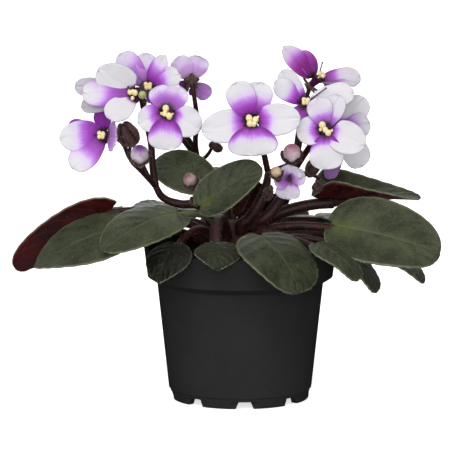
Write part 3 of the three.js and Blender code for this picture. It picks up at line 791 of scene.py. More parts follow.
@dataclass(frozen=True)
class BudFinish(Finish):
    """A bud that darkens towards its tip along its own UV map."""

    grain_scale: float = 1500.0
    grain_depth: float = 0.1
    sheen: float = 0.1
    tip: str = "6a2c86"

    def pattern(self, sheet: Sheet, place: Any, mottle: Any, grain: Socket) -> tuple[Any, Any, Any]:
        """The colour, the height and the roughness of the bud, with arguments and results as in Finish."""
        to_tip = sheet.band(sheet.parts(place["UV"])[1], 0.55, 0.95)
        return sheet.blend(to_tip, mottle["Colour"], paint(self.tip)), grain, self.rough


POT_PLASTIC = Finish(
    "Black Pot Plastic", "2b2b2b", "2e2e2e", 0.45, mottle_scale=40, grain_scale=1600, grain_depth=0.02,
    specular=0.0,
)
PEAT = Finish(
    "Dark Peat", "1c120b", "4a3525", 0.95, mottle_scale=260, grain_scale=700, grain_depth=0.6, specular=0.2
)
CROWN_SKIN = Finish(
    "Rootstock Skin", "34231a", "51402f", 0.85, mottle_scale=220, grain_scale=800, grain_depth=0.3
)
LEAF_FACE = LeafFinish(
    "Leaf Face", "303524", "4a503a", mottle_scale=75, grain_depth=0.5, specular=0.18, sheen=0.05,
    sheen_tint="c9d6c0", vein_share=0.18,
)
LEAF_UNDER = LeafFinish(
    "Leaf Underside", "2a0709", "4a1215", mottle_scale=90, grain_depth=0.35, specular=0.15,
    rib="5c2224", vein_share=0.4, patch="48171b", edge="6a4440",
)
LEAF_MARGIN = Finish("Leaf Margin", "4e543e", "7d8068", 0.7)
STALK_SKIN = StalkFinish(
    "Stalk Skin", "190605", "2f0f0e", 0.5, mottle_scale=120, grain_depth=0.12, specular=0.25, sheen=0.03,
    sheen_tint="d8a0a0",
)
SEPAL_SKIN = Finish(
    "Sepal Skin", "2b1a18", "52393a", 0.7, mottle_scale=350, grain_scale=1200, grain_depth=0.2,
    specular=0.3, sheen=0.12, sheen_tint="d8c0b0",
)
PETAL_FACE = PetalFinish(
    "Petal Face", "ffffff", "ffffff", 0.55, mottle_scale=60, grain_scale=2200, grain_depth=0.1,
    specular=0.3, sheen=0.05, subsurface=0.1,
)
# painted shade: a near-black violet for the throat cap, which stands in for the hollow in shade
THROAT_PAINTED_SHADE = Finish("Throat Painted Shade", "2c0a22", "4c1048", mottle_scale=400, specular=0.2)
POLLEN = Finish(
    "Pollen", "ecd391", "fbf0c6", 0.8, mottle_scale=700, grain_scale=2500, grain_depth=0.15, specular=0.2,
    subsurface=0.1,
)
GREEN_SKIN = Finish("Seed Ball", "8d9458", "b4b984", mottle_scale=500, specular=0.3)
STYLE_SKIN = Finish("Style Skin", "2c0a3c", "4a1a66", 0.5, mottle_scale=400)
BUD_SKIN = BudFinish("Bud Skin", "bda8b8", "e4d9e2", subsurface=0.1)
DUSKY_BUD_SKIN = BudFinish("Dusky Bud Skin", "a4868a", "c8aeae", tip="86545a")
PINK_BUD_SKIN = BudFinish("Pink Bud Skin", "e0bccc", "f8e4ee", tip="b86c84")
TAN_BUD_SKIN = BudFinish("Tan Bud Skin", "b49a7c", "dcc8a4", tip="bea078")
PALE_HAIR = Finish("Pale Hair", "7f846c", "a9ab94")
TAN_HAIR = Finish("Tan Hair", "6c524c", "a08880")
FLOOR_WHITE = Finish(
    "Studio Floor", "f8f8f8", "fbfbfb", 0.9, mottle_scale=2, grain_scale=20, grain_depth=0.01, specular=0.0,
    emission=0.68, bounce=0.25,
)


def dress(piece: Piece, *finishes: Finish) -> None:
    """Gives a piece its materials in order.

    Args:
        piece: The piece.
        finishes: The materials.
    """
    piece.data.materials.clear()
    for finish in finishes:
        piece.data.materials.append(finish.material())


def dress_smooth(pieces: Sequence[Piece], *finishes: Finish) -> None:
    """Gives pieces their materials in order and shades them smooth.

    Args:
        pieces: The pieces.
        finishes: The materials of each.
    """
    for piece in pieces:
        dress(piece, *finishes)
        smooth(piece)


# Blades


@dataclass(frozen=True)
class Outline:
    """The form of a blade's margin, as shares of its length and half width.

    Heel is where the margin begins along the blade, and start how wide it is there, as an angle on the
    margin's half circle. Fullness narrows the ends, and skew moves the widest place to the base.
    """

    heel: float
    start: float
    fullness: float
    skew: float


LEAF_OUTLINE = Outline(-0.08, 0.12, 0.8, 0.12)
POINTED_LEAF_OUTLINE = Outline(-0.08, 0.2, 1.3, 0.3)
PETAL_OUTLINE = Outline(0.0, 0.45, 0.8, -0.25)
WIDE_OUTLINE = Outline(0.0, 0.85, 0.9, 0.08)
POINTED_OUTLINE = Outline(0.0, 0.5, 1.1, -0.05)
SEPAL_OUTLINE = Outline(0.0, 0.3, 0.9, 0.25)


@dataclass
class Blade:
    """A curved blade from its base to its tip; lengths in metres, angles in degrees.

    Roll turns it on its midrib, and bow arches it. Cup raises both sides, and fold does so by its base.
    Twist turns its tip against its base, in radians. Wave ripples its margin, and relief is a fine height
    that is read from shares along and across it.
    """

    base: Vector
    tip: Vector
    up: Vector
    width: float
    outline: Outline
    roll: float = 0.0
    bow: float = 0.0
    cup: float = 0.0
    wave: float = 0.0
    twist: float = 0.0
    fold: float = 0.0
    relief: Callable[[np.ndarray, np.ndarray], np.ndarray] | None = None
    fold_reach: float = 0.15
    along: Vector = field(init=False)
    left: Vector = field(init=False)
    out: Vector = field(init=False)
    length: float = field(init=False)

    def __post_init__(self) -> None:
        """Works out the blade's own axes."""
        run = self.tip - self.base
        self.length = run.length
        self.along = run.normalized()
        roll = Matrix.Rotation(math.radians(self.roll), 3, self.along)
        self.left = roll @ self.up.cross(self.along).normalized()
        self.out = self.along.cross(self.left)

    def points(self, t: np.ndarray, v: np.ndarray) -> np.ndarray:
        """Places of the blade's middle surface.

        Args:
            t: Shares from heel to tip.
            v: Shares from the right margin, -1, to the left, 1.

        Returns:
            One row for each place.
        """
        line = self.outline
        turn = line.start + (math.pi - line.start) * t
        margin_x = line.heel + (1 - line.heel) * (1 - np.cos(turn)) / 2
        margin_y = np.clip(np.sin(turn), 0, 1) ** line.fullness * (1 + line.skew * np.cos(turn))
        x = t + (margin_x - t) * np.abs(v)
        y = margin_y * v * self.width / 2
        ripple = self.wave * v * v * np.sin(3 * math.pi * t + np.where(v < 0, 2.0, 0.0))
        cup = self.cup + self.fold * np.exp(-np.clip(x, 0, 1) / self.fold_reach)
        z = 4 * self.bow * self.length * x * (1 - x) + 2 * cup * y * y / self.width + ripple
        if self.relief:
            z = z + self.relief(t, v)
        bend = self.twist * x
        sideways, upwards = y * np.cos(bend) - z * np.sin(bend), y * np.sin(bend) + z * np.cos(bend)
        base, along, left, out = (np.array(a) for a in (self.base, self.along, self.left, self.out))
        return base + np.outer(x * self.length, along) + np.outer(sideways, left) + np.outer(upwards, out)

    def point(self, t: float, v: float) -> Vector:
        """One place of the blade's middle surface."""
        return Vector(self.points(np.array([t]), np.array([v]))[0])


class Grids:
    """Flat grids that blades are shaped from, each drawn once."""

    def __init__(self) -> None:
        """Starts with no grid."""
        self.patterns: dict[tuple[int, int], Piece] = {}

    def copy(self, rows: int, columns: int, name: str) -> tuple[Piece, np.ndarray, np.ndarray]:
        """A grid with its UV map from 0 to 1 along it and across it.

        Args:
            rows: Cells along it.
            columns: Cells across it.
            name: The copy's name.

        Returns:
            The copy, and for its points the shares along it, 0 to 1, and across it, -1 to 1.
        """
        key = (rows, columns)
        if key not in self.patterns:
            self.patterns[key] = drawn(
                bpy.ops.mesh.primitive_grid_add, f"pattern_{rows}_{columns}",
                x_subdivisions=rows, y_subdivisions=columns, size=1,
            )
        twin = self.patterns[key].copy()
        twin.data = twin.data.copy()
        twin.name = name
        bpy.context.collection.objects.link(twin)
        flat = points_of(twin)
        return twin, np.clip(flat[:, 0] + 0.5, 0, 1), np.clip(flat[:, 1] * 2, -1, 1)

    def clear(self) -> None:
        """Removes the patterns."""
        for pattern in self.patterns.values():
            discard(pattern)
        self.patterns.clear()


GRIDS = Grids()


def blade_piece(name: str, blade: Blade, rows: int, columns: int, thick: float, *finishes: Finish) -> Piece:
    """A blade with thickness, made from a grid.

    Args:
        name: The piece's name.
        blade: Its form.
        rows: Cells along it.
        columns: Cells across it.
        thick: Thickness in millimetres.
        finishes: Upper side, underside and rim.

    Returns:
        The blade, in place.
    """
    piece, t, v = GRIDS.copy(rows, columns, name)
    move_points(piece, blade.points(t, v))
    dress(piece, *finishes)
    with editing(piece):
        bpy.ops.mesh.remove_doubles(threshold=2e-5)
    apply_modifier(
        piece, "SOLIDIFY", thickness=thick * MM, offset=0.0, material_offset=1, material_offset_rim=2
    )
    smooth(piece)
    return piece


# Hairs


SQUARE_MM_PER_SQUARE_METRE = 1e6


@dataclass(frozen=True)
class HairCoat:
    """Fine hairs on the faces of one material slot; sizes in millimetres, lean as a random share."""

    slot: int
    per_square_mm: float
    length: float
    radius: float
    lean: float
    finish: Finish = TAN_HAIR

    def hairs(self, name: str, foot: np.ndarray, way: np.ndarray, rng: np.random.Generator) -> Piece:
        """Many copies of one slim cone in one mesh.

        Args:
            name: The mesh's name.
            foot: Where each hair stands.
            way: The way that each hair points.
            rng: The scatter's generator.

        Returns:
            The hairs.
        """
        hair = drawn(
            bpy.ops.mesh.primitive_cone_add, name,
            vertices=3, radius1=1, radius2=0, depth=1, location=(0, 0, 0.5), end_fill_type="NGON",
        )
        fix_place(hair)
        shape = points_of(hair)
        helper = np.where(np.abs(way[:, 2:3]) < 0.9, [[0.0, 0.0, 1.0]], [[1.0, 0.0, 0.0]])
        side = np.cross(way, helper)
        side /= np.linalg.norm(side, axis=1)[:, None]
        other = np.cross(way, side)
        length = self.length * MM * rng.uniform(0.5, 1.15, (len(foot), 1, 1))
        radius = self.radius * MM
        repeat_mesh(hair, (
            foot[:, None, :]
            + radius * shape[None, :, 0:1] * side[:, None, :]
            + radius * shape[None, :, 1:2] * other[:, None, :]
            + length * shape[None, :, 2:3] * way[:, None, :]
        ))
        dress(hair, self.finish)
        return hair


def grow_hairs(piece: Piece, coats: Sequence[HairCoat], seed: int) -> Piece:
    """Joins hairs to a piece; each is a slim cone that stands on the skin.

    Args:
        piece: The piece, in place.
        coats: The coats to grow.
        seed: Seed of the scatter.

    Returns:
        The piece with its hairs.
    """
    rng = np.random.default_rng(seed)
    mesh = piece.data
    mesh.calc_loop_triangles()
    count = len(mesh.loop_triangles)
    corners, slots = np.empty(count * 3, dtype=np.int32), np.empty(count, dtype=np.int32)
    mesh.loop_triangles.foreach_get("vertices", corners)
    mesh.loop_triangles.foreach_get("material_index", slots)
    first, second, third = np.moveaxis(points_of(piece)[corners.reshape(-1, 3)], 1, 0)
    normal = np.cross(second - first, third - first)
    area = np.linalg.norm(normal, axis=1) / 2
    normal = normal / np.maximum(2 * area, 1e-12)[:, None]
    grown = [piece]
    for index, coat in enumerate(coats):
        weight = np.where(slots == coat.slot, area, 0.0)
        total = weight.sum()
        wanted = int(total * SQUARE_MM_PER_SQUARE_METRE * coat.per_square_mm)
        if wanted < 1:
            continue
        pick = rng.choice(count, wanted, p=weight / total)
        a, b = rng.random((2, wanted, 1))
        flip = (a + b) > 1
        a, b = np.where(flip, 1 - a, a), np.where(flip, 1 - b, b)
        foot = first[pick] + a * (second[pick] - first[pick]) + b * (third[pick] - first[pick])
        way = normal[pick] + rng.normal(0, coat.lean, (wanted, 3))
        way /= np.linalg.norm(way, axis=1)[:, None]
        grown.append(coat.hairs(f"{piece.name}_hair_{index}", foot, way, rng))
    return join(grown, piece.name)


# Pot, soil and crown


@dataclass(frozen=True)
class Cut:
    """A block that is cut out of the pot's foot; sizes in millimetres.

    Middle is its distance from the axis, corner rounds its upper edges, and taper is its top's share of
    its mean width.
    """

    width: float
    middle: float
    height: float
    corner: float
    taper: float
    depth: float = 10.0
    below: float = 2.0

    def block(self) -> Piece:
        """The block, in front of the axis.

        Returns:
            The block.
        """
        middle = (0, -self.middle * MM, (self.height - self.below) / 2 * MM)
        block = drawn(bpy.ops.mesh.primitive_cube_add, "cut", size=1, location=middle)
        block.scale = (self.width * MM, self.depth * MM, (self.height + self.below) * MM)
        fix_place(block)
        places = points_of(block)
        places[:, 0] *= np.where(places[:, 2] > 0, self.taper, 2 - self.taper)
        move_points(block, places)
        if self.corner:
            self.round_top(block)
        return block

    def round_top(self, block: Piece) -> None:
        """Rounds the two upper edges that run outwards.

        Args:
            block: The block.
        """
        select_only(block)
        mesh = block.data
        for item in (*mesh.vertices, *mesh.polygons):
            item.select = False
        for edge in mesh.edges:
            ends = [mesh.vertices[i] for i in edge.vertices]
            edge.select = all(end.co.z > 0 for end in ends) and abs(ends[0].co.x - ends[1].co.x) < 1e-6
            for end in ends:
                end.select = end.select or edge.select
        with editing(block, everything=False):
            bpy.ops.mesh.select_mode(type="EDGE")
            bpy.ops.mesh.bevel(offset=self.corner * MM, segments=4)


@dataclass
class Pot:
    """The nursery pot; sizes in millimetres."""

    sides: int = 96
    height: float = 84.0
    rim_top: float = 52.5
    rim_foot: float = 50.5
    rim_foot_height: float = 67.3
    wall_top: float = 45.3
    wall_top_height: float = 64.0
    wall_foot: float = 38.95
    ledge: float = 6.0
    foot: float = 38.1
    foot_bottom: float = 37.1
    ring_inner: float = 33.2
    wall: float = 1.3
    floor_under: float = 4.6
    hub: float = 12.0
    edge: float = 0.3
    floor_hole: float = 1.0
    notches: int = 8
    notch_turn: float = 3.7
    cuts: tuple[Cut, ...] = (Cut(16.4, 41.4, 4.1, 1.4, 1.0), Cut(9.0, 33.2, 3.7, 0.0, 0.72))

    def profile(self) -> list[tuple[float, float]]:
        """Radius and height of each ring, from the hub over the wall and the rim to the floor inside.

        Returns:
            The rings.
        """
        inner_rim, edge, step = self.rim_top - self.wall, self.edge, 0.8
        return [
            (self.hub, 0), (self.hub, self.floor_under), (self.ring_inner, self.floor_under),
            (self.ring_inner, 0), (self.foot_bottom, 0), (self.foot - 0.4, 1), (self.foot, self.ledge - edge),
            (self.wall_foot, self.ledge), (self.wall_top, self.wall_top_height),
            (self.rim_foot, self.rim_foot_height), (self.rim_top, self.height - edge),
            (self.rim_top - edge, self.height), (inner_rim + edge, self.height),
            (inner_rim, self.height - edge), (self.rim_foot - self.wall, self.rim_foot_height + step),
            (self.wall_top - self.wall, self.wall_top_height + step),
            (self.wall_foot - self.wall, self.ledge), (self.floor_hole, self.ledge),
        ]

    def build(self) -> Piece:
        """Models the pot with its drainage notches, each a recess in the foot's face and a spout through it.

        Returns:
            The pot.
        """
        shell = turned_shell("violet_pot", self.profile(), self.sides)
        for index in range(self.notches):
            turn = Matrix.Rotation(math.radians(self.notch_turn + 360 / self.notches * index), 4, "Z")
            for cut in self.cuts:
                block = cut.block()
                block.matrix_world = turn @ block.matrix_world
                fix_place(block)
                apply_modifier(shell, "BOOLEAN", operation="DIFFERENCE", solver="EXACT", object=block)
                discard(block)
        smooth(shell, 32)
        dress(shell, POT_PLASTIC)
        return hand_over(shell, "pot")


@dataclass
class Soil:
    """The root ball of peat; sizes in millimetres."""

    sides: int = 72
    side: tuple[tuple[float, float], ...] = ((1, 6.3), (36.6, 6.3), (43.4, 64.6), (48.6, 68.9), (48.9, 73.4))
    top: float = 75.0
    crown_drop: float = 1.2
    rings: int = 22
    crumbs: int = 380
    crumb_radius: float = 1.1
    crumb_reach: float = 47.5
    crumb_drop: float = 0.012

    def build(self) -> Piece:
        """Models the ball with its uneven top and its crumbs.

        Returns:
            The soil.
        """
        reach = self.side[-1][0]
        shares = np.linspace(0.97, 0.02, self.rings)
        top = [(reach * share, self.top - self.crown_drop * share) for share in shares]
        ball = turned_shell("violet_soil", [*self.side, *top], self.sides)
        places = points_of(ball)
        for row in places:
            if row[2] > (self.top - 2.5) * MM and math.hypot(row[0], row[1]) < (reach - 0.4) * MM:
                at = Vector(row) * 260
                row[2] += (1.1 * noise.noise(at) + 0.6 * noise.noise(at * 3.1)) * MM
        move_points(ball, places)
        dress_smooth([ball], PEAT)
        return hand_over(join([ball, self.crumb_field()], "violet_soil"), "soil")

    def crumb_field(self) -> Piece:
        """Crumbs of peat that lie on the surface.

        Returns:
            The crumbs in one mesh.
        """
        rng = np.random.default_rng(11)
        crumb = drawn(
            bpy.ops.mesh.primitive_ico_sphere_add, "crumbs", subdivisions=1, radius=self.crumb_radius * MM
        )
        shape = points_of(crumb)
        lumps = []
        for _ in range(self.crumbs):
            reach = self.crumb_reach * math.sqrt(rng.random())
            bearing = rng.uniform(0, 2 * math.pi)
            turn = Matrix.Rotation(rng.uniform(0, 6.3), 3, Vector(rng.normal(size=3)).normalized())
            lump = shape * rng.uniform(0.35, 1.0, 3) * rng.uniform(0.85, 1.15, (len(shape), 1))
            height = self.top - self.crumb_drop * reach + 0.1
            middle = np.array([reach * math.cos(bearing), reach * math.sin(bearing), height]) * MM
            lumps.append(lump @ np.array(turn) + middle)
        repeat_mesh(crumb, np.array(lumps))
        dress(crumb, PEAT)
        return crumb


@dataclass
class Crown:
    """The short stem that every stalk grows from; sizes in millimetres.

    Sunk is how deep in it a stalk starts.
    """

    centre: float = -3.0
    radius: float = 8.0
    neck: float = 6.0
    foot: float = 60.0
    neck_height: float = 76.0
    shoulder: float = 79.0
    top: float = 97.0
    sides: int = 36
    sunk: float = 1.2

    def build(self) -> Piece:
        """Models the crown with its knobs and hairs.

        Returns:
            The crown.
        """
        radius, top = self.radius, self.top
        profile = [(1, self.foot), (self.neck, self.foot), (self.neck, self.neck_height)]
        profile += [(radius, self.shoulder)]
        profile += [(radius, height) for height in np.linspace(self.shoulder + 1.5, top - 2.5, 10)]
        profile += [(radius - 0.8, top - 1.2), (radius - 2.2, top - 0.2), (3, top), (1, top)]
        stem = turned_shell("violet_crown", profile, self.sides)
        places = points_of(stem)
        for row in places:
            at = Vector(row) * 170
            row[:2] *= 1 - 0.09 * abs(noise.noise(at)) - 0.04 * abs(noise.noise(at * 3))
            row[0] += self.centre * MM
        move_points(stem, places)
        dress_smooth([stem], CROWN_SKIN)
        whole = grow_hairs(stem, [HairCoat(0, per_square_mm=0.4, length=1.2, radius=0.05, lean=0.4)], 5)
        return hand_over(whole, "crown")

    def seat(self, turn: float, height: float, lift: float, radius: float) -> tuple[Vector, Vector]:
        """Where a stalk leaves the crown's side.

        Args:
            turn: Degrees about the crown from +X.
            height: Millimetres above the floor.
            lift: Degrees that the stalk sets out upwards.
            radius: The stalk's radius in millimetres.

        Returns:
            The place in metres and the heading.
        """
        bearing, rise = math.radians(turn), math.radians(lift)
        spoke = Vector((math.cos(bearing), math.sin(bearing), 0))
        reach = self.radius + 0.3 + radius * math.sin(rise)
        root = (Vector((self.centre, 0, height)) + spoke * reach) * MM
        return root, spoke * math.cos(rise) + UP * math.sin(rise)


# Leaves


@dataclass
class Leaf:
    """A blade and its stalk; places as in the front view, sizes in millimetres.

    Root is the stalk's turn, height and lift at the crown. Arch is how far the stalk keeps its first
    heading. Painted light scales the blade's colour: under 1 it is painted shade, for a leaf that lies in
    shade, and over 1 a painted lightening; glow shows its patch, and green colours its stalk.
    """

    name: str
    root: Place
    base: Place
    tip: Place
    width: float
    roll: float
    bow: float = 0.1
    cup: float = -0.1
    tone: float = 1.0
    glow: float = 0.0
    green: float = 0.0
    arch: float = 0.36
    stalk: float = 2.3
    neck: float = 1.7
    twist: float = 0.0
    fold: float = 0.0
    outline: Outline = LEAF_OUTLINE
    rows: int = 44
    columns: int = 32
    thick: float = 0.9

    def relief(self, t: np.ndarray, v: np.ndarray) -> np.ndarray:
        """The quilted height between sunken veins, and the scallops of the margin.

        Args:
            t: Shares from heel to tip.
            v: Shares from the right margin, -1, to the left, 1.

        Returns:
            Heights in metres.
        """
        across = np.abs(v)
        lane = (t - VEIN_SWEEP * across ** VEIN_CURVE) * VEIN_PAIRS
        gap = np.abs(((lane + 0.5) % 1.0) - 0.5) * 2
        fade = np.clip(across * 5, 0, 1) * np.clip((1 - across) * 6, 0, 1) * np.clip((1 - t) * 6, 0, 1)
        quilt = 0.005 * self.width * (gap ** 0.6 - 0.6) * fade
        rib = -0.012 * self.width * np.exp(-((across / 0.06) ** 2)) * np.clip((0.9 - t) * 4, 0, 1)
        scallop = 0.18 * np.sin(t * 70) * np.clip((across - 0.85) * 6, 0, 1)
        return (quilt + rib + scallop) * MM

    def build(self, crown: Crown, seed: int) -> Piece:
        """Models the leaf with its hairs.

        Args:
            crown: The crown that it grows from.
            seed: Seed of its hairs.

        Returns:
            The leaf.
        """
        blade = Blade(
            seen(*self.base), seen(*self.tip), UP, self.width * MM, self.outline, self.roll, self.bow,
            self.cup, wave=0.7 * MM, twist=self.twist, fold=self.fold, relief=self.relief,
        )
        name = f"violet_{self.name}"
        skin = blade_piece(
            name, blade, self.rows, self.columns, self.thick, LEAF_FACE, LEAF_UNDER, LEAF_MARGIN
        )
        stalks = [self.petiole(blade, crown), self.keel(blade)]
        dress_smooth(stalks, STALK_SKIN)
        whole = join([skin, *stalks], name)
        mark(whole, tone=self.tone, glow=self.glow, green=self.green)
        return hand_over(grow_hairs(whole, LEAF_COATS, seed), self.name)

    def petiole(self, blade: Blade, crown: Crown) -> Piece:
        """The leaf's stalk, from the crown's side to the underside of the blade.

        Args:
            blade: The blade.
            crown: The crown that it grows from.

        Returns:
            The stalk.
        """
        root, heading = crown.seat(*self.root, self.stalk)
        run = (blade.along + 4 * self.bow * blade.out).normalized()
        end = blade.point(0.14, 0.0) - (self.neck - 0.3) * MM * blade.out
        handle = (end - root).length * self.arch
        ends = (root, root + heading * handle, end - run * handle, end)
        stops, radii = [root - heading * crown.sunk * MM], [self.stalk]
        for share in (step / 8 for step in range(9)):
            rest = 1 - share
            weights = (rest ** 3, 3 * rest ** 2 * share, 3 * rest * share ** 2, share ** 3)
            stops.append(sum((weight * place for weight, place in zip(weights, ends)), Vector()))
            radii.append(self.stalk + (self.neck - self.stalk) * share)
        return tube("petiole", stops, radii, 12)

    def keel(self, blade: Blade) -> Piece:
        """The thick midrib that runs on under the blade.

        Args:
            blade: The blade.

        Returns:
            The keel.
        """
        radii = [self.neck * size for size in (0.95, 0.72, 0.52, 0.38, 0.26, 0.14)]
        shares = (0.1, 0.22, 0.36, 0.5, 0.65, 0.8)
        stops = [blade.point(t, 0.0) - blade.out * (r - 0.25) * MM for t, r in zip(shares, radii)]
        return tube("keel", stops, radii, 8)


LEAF_COATS = (
    HairCoat(2, 2.6, 1.0, 0.05, 0.5, PALE_HAIR),
    HairCoat(0, 0.4, 0.8, 0.035, 0.5, PALE_HAIR),
    HairCoat(1, 0.2, 0.9, 0.035, 0.5),
    HairCoat(3, 0.6, 1.4, 0.04, 0.5),
)
# tone under 1 is painted shade on leaves under others or by the rim; over 1 it is painted light
LEAVES = (
    Leaf("leaf_left_back", (186, 87, 35), (-69.7, 102.8, 5), (-122.7, 69.8, -5), 31, 42, 0.05, 0.1, 0.95),
    Leaf("leaf_left_front", (202, 81, 40), (-57.2, 93.7, 20), (-111, 70.5, 28), 39, -27, 0.08, tone=0.8,
         outline=POINTED_LEAF_OUTLINE),
    Leaf("leaf_front_left", (200, 95, 60), (-34.4, 100, 20), (-72.5, 79.4, 50), 32, -20, tone=0.88, glow=0.3,
         green=0.9),
    Leaf("leaf_centre", (225, 95, 55), (-21, 104, 26), (10.8, 125, 27), 24, 58, 0.04, 0.15, 0.75, 0.4, 0.5),
    Leaf("leaf_rim_left", (220, 85, 45), (-35, 83, 39), (-43.5, 62.3, 51), 27, 0, tone=0.12, arch=0.5,
         outline=POINTED_LEAF_OUTLINE),
    Leaf("leaf_rim_middle", (248, 90, 68), (-12.8, 83.5, 47), (-11.2, 69.5, 59), 24, 0, tone=0.35, arch=0.6,
         stalk=3, neck=2.6, outline=POINTED_LEAF_OUTLINE),
    Leaf("leaf_front", (283, 84, 30), (11, 87.5, 42), (31.4, 57.6, 70), 43, 0, tone=0.72),
    Leaf("leaf_front_right", (310, 86, 40), (41.6, 82.8, 41), (63, 64.1, 55), 24, 0, tone=0.78),
    Leaf("leaf_right", (335, 88, 35), (51, 93, 18), (107.6, 78, 27), 43, 45, 0.06, 0.12, 0.92, 0.35,
         stalk=2.8, neck=2.2),
    Leaf("leaf_right_under", (340, 81, 35), (52, 83.5, 20), (74, 57.6, 26), 24, 10, tone=0.7),
    Leaf("leaf_right_low", (12, 81, 35), (58, 88, -8), (101, 63, -12), 24, 20, tone=0.8),
    Leaf("leaf_right_upper", (4, 93, 35), (43, 108.5, -2), (98.4, 108.8, -12), 36, 2, 0, 0.42, 0.85,
         stalk=3.4, neck=3, twist=0.15, fold=1.2, outline=POINTED_LEAF_OUTLINE),
    Leaf("leaf_upper_left", (144, 94, 45), (-18, 115.3, -17), (-46.9, 128.9, -35), 26, -40, 0.06, 0.1, 1.25),
    Leaf("leaf_upper_back", (94, 94, 50), (-8, 108, -22), (-9.5, 125, -62), 26, 0, 0.06, 0.1, 0.9),
    Leaf("leaf_left_upper", (170, 80, 60), (-38, 101.5, -10), (-62, 101.5, -14), 22, 0, 0.1, 0.1, 0.8),
    Leaf("leaf_young_left", (74, 95, 72), (0, 99, -7.6), (10, 117, -6), 15, -68, 0.05, 0.1, 0.5,
         stalk=1.5, neck=1.2),
    Leaf("leaf_young_right", (46, 95, 62), (12, 97.5, -11), (26, 110, -9), 12, -68, 0.05, 0.1, 0.5,
         stalk=1.5, neck=1.2),
    Leaf("leaf_back_1", (24, 87, 50), (47, 98, -20), (90, 86, -42), 32, 0),
    Leaf("leaf_back_2", (46, 81, 55), (32, 97, -35), (64, 84, -72), 32, 0, 0.12),
    Leaf("leaf_back_3", (64, 88, 55), (13, 102, -42), (30, 92, -90), 32, 0, 0.12),
    Leaf("leaf_back_4", (88, 81, 55), (-4, 97, -44), (-8, 86, -95), 32, 0, 0.12),
    Leaf("leaf_back_5", (112, 87, 55), (-20, 102, -40), (-40, 91, -84), 32, 0, 0.12),
    Leaf("leaf_back_6", (135, 81, 55), (-38, 97, -32), (-72, 84, -64), 32, 0, 0.12),
    Leaf("leaf_back_7", (154, 87, 50), (-48, 98, -22), (-92, 84, -34), 30, 0),
)


# Blooms


class Head(Enum):
    """What a pedicel carries."""

    BLOOM = "bloom"
    BUD = "bud"
    HUSK = "husk"


class Carried:
    """What a pedicel carries: its middle as in the front view, and its yaw and pitch."""

    head: Head
    at: Place
    face: tuple[float, float]

    @property
    def centre(self) -> Vector:
        """Its middle, which is the throat of a bloom."""
        return seen(*self.at)

    @property
    def front(self) -> Vector:
        """The way that it faces."""
        return facing(*self.face)


@dataclass
class Petal:
    """One petal.

    Its tip's offset from the throat and its width come first. Violet gives way to white at its reach, in
    millimetres from the throat, and rim is how much farther it goes along the margins. Shade is painted
    shade, which greys and darkens a petal that lies in shadow; pink reddens its violet, and pale washes its
    violet out, as on a petal's back.
    Level sets it before or behind the others, and roll turns it on its midrib.
    """

    right: float
    rise: float
    ahead: float
    width: float
    reach: float = 9.0
    shade: float = 0.0
    pale: float = 0.0
    rim: float = 0.0
    pink: float = 0.0
    level: float | None = None
    roll: float = 0.0
    outline: Outline = PETAL_OUTLINE


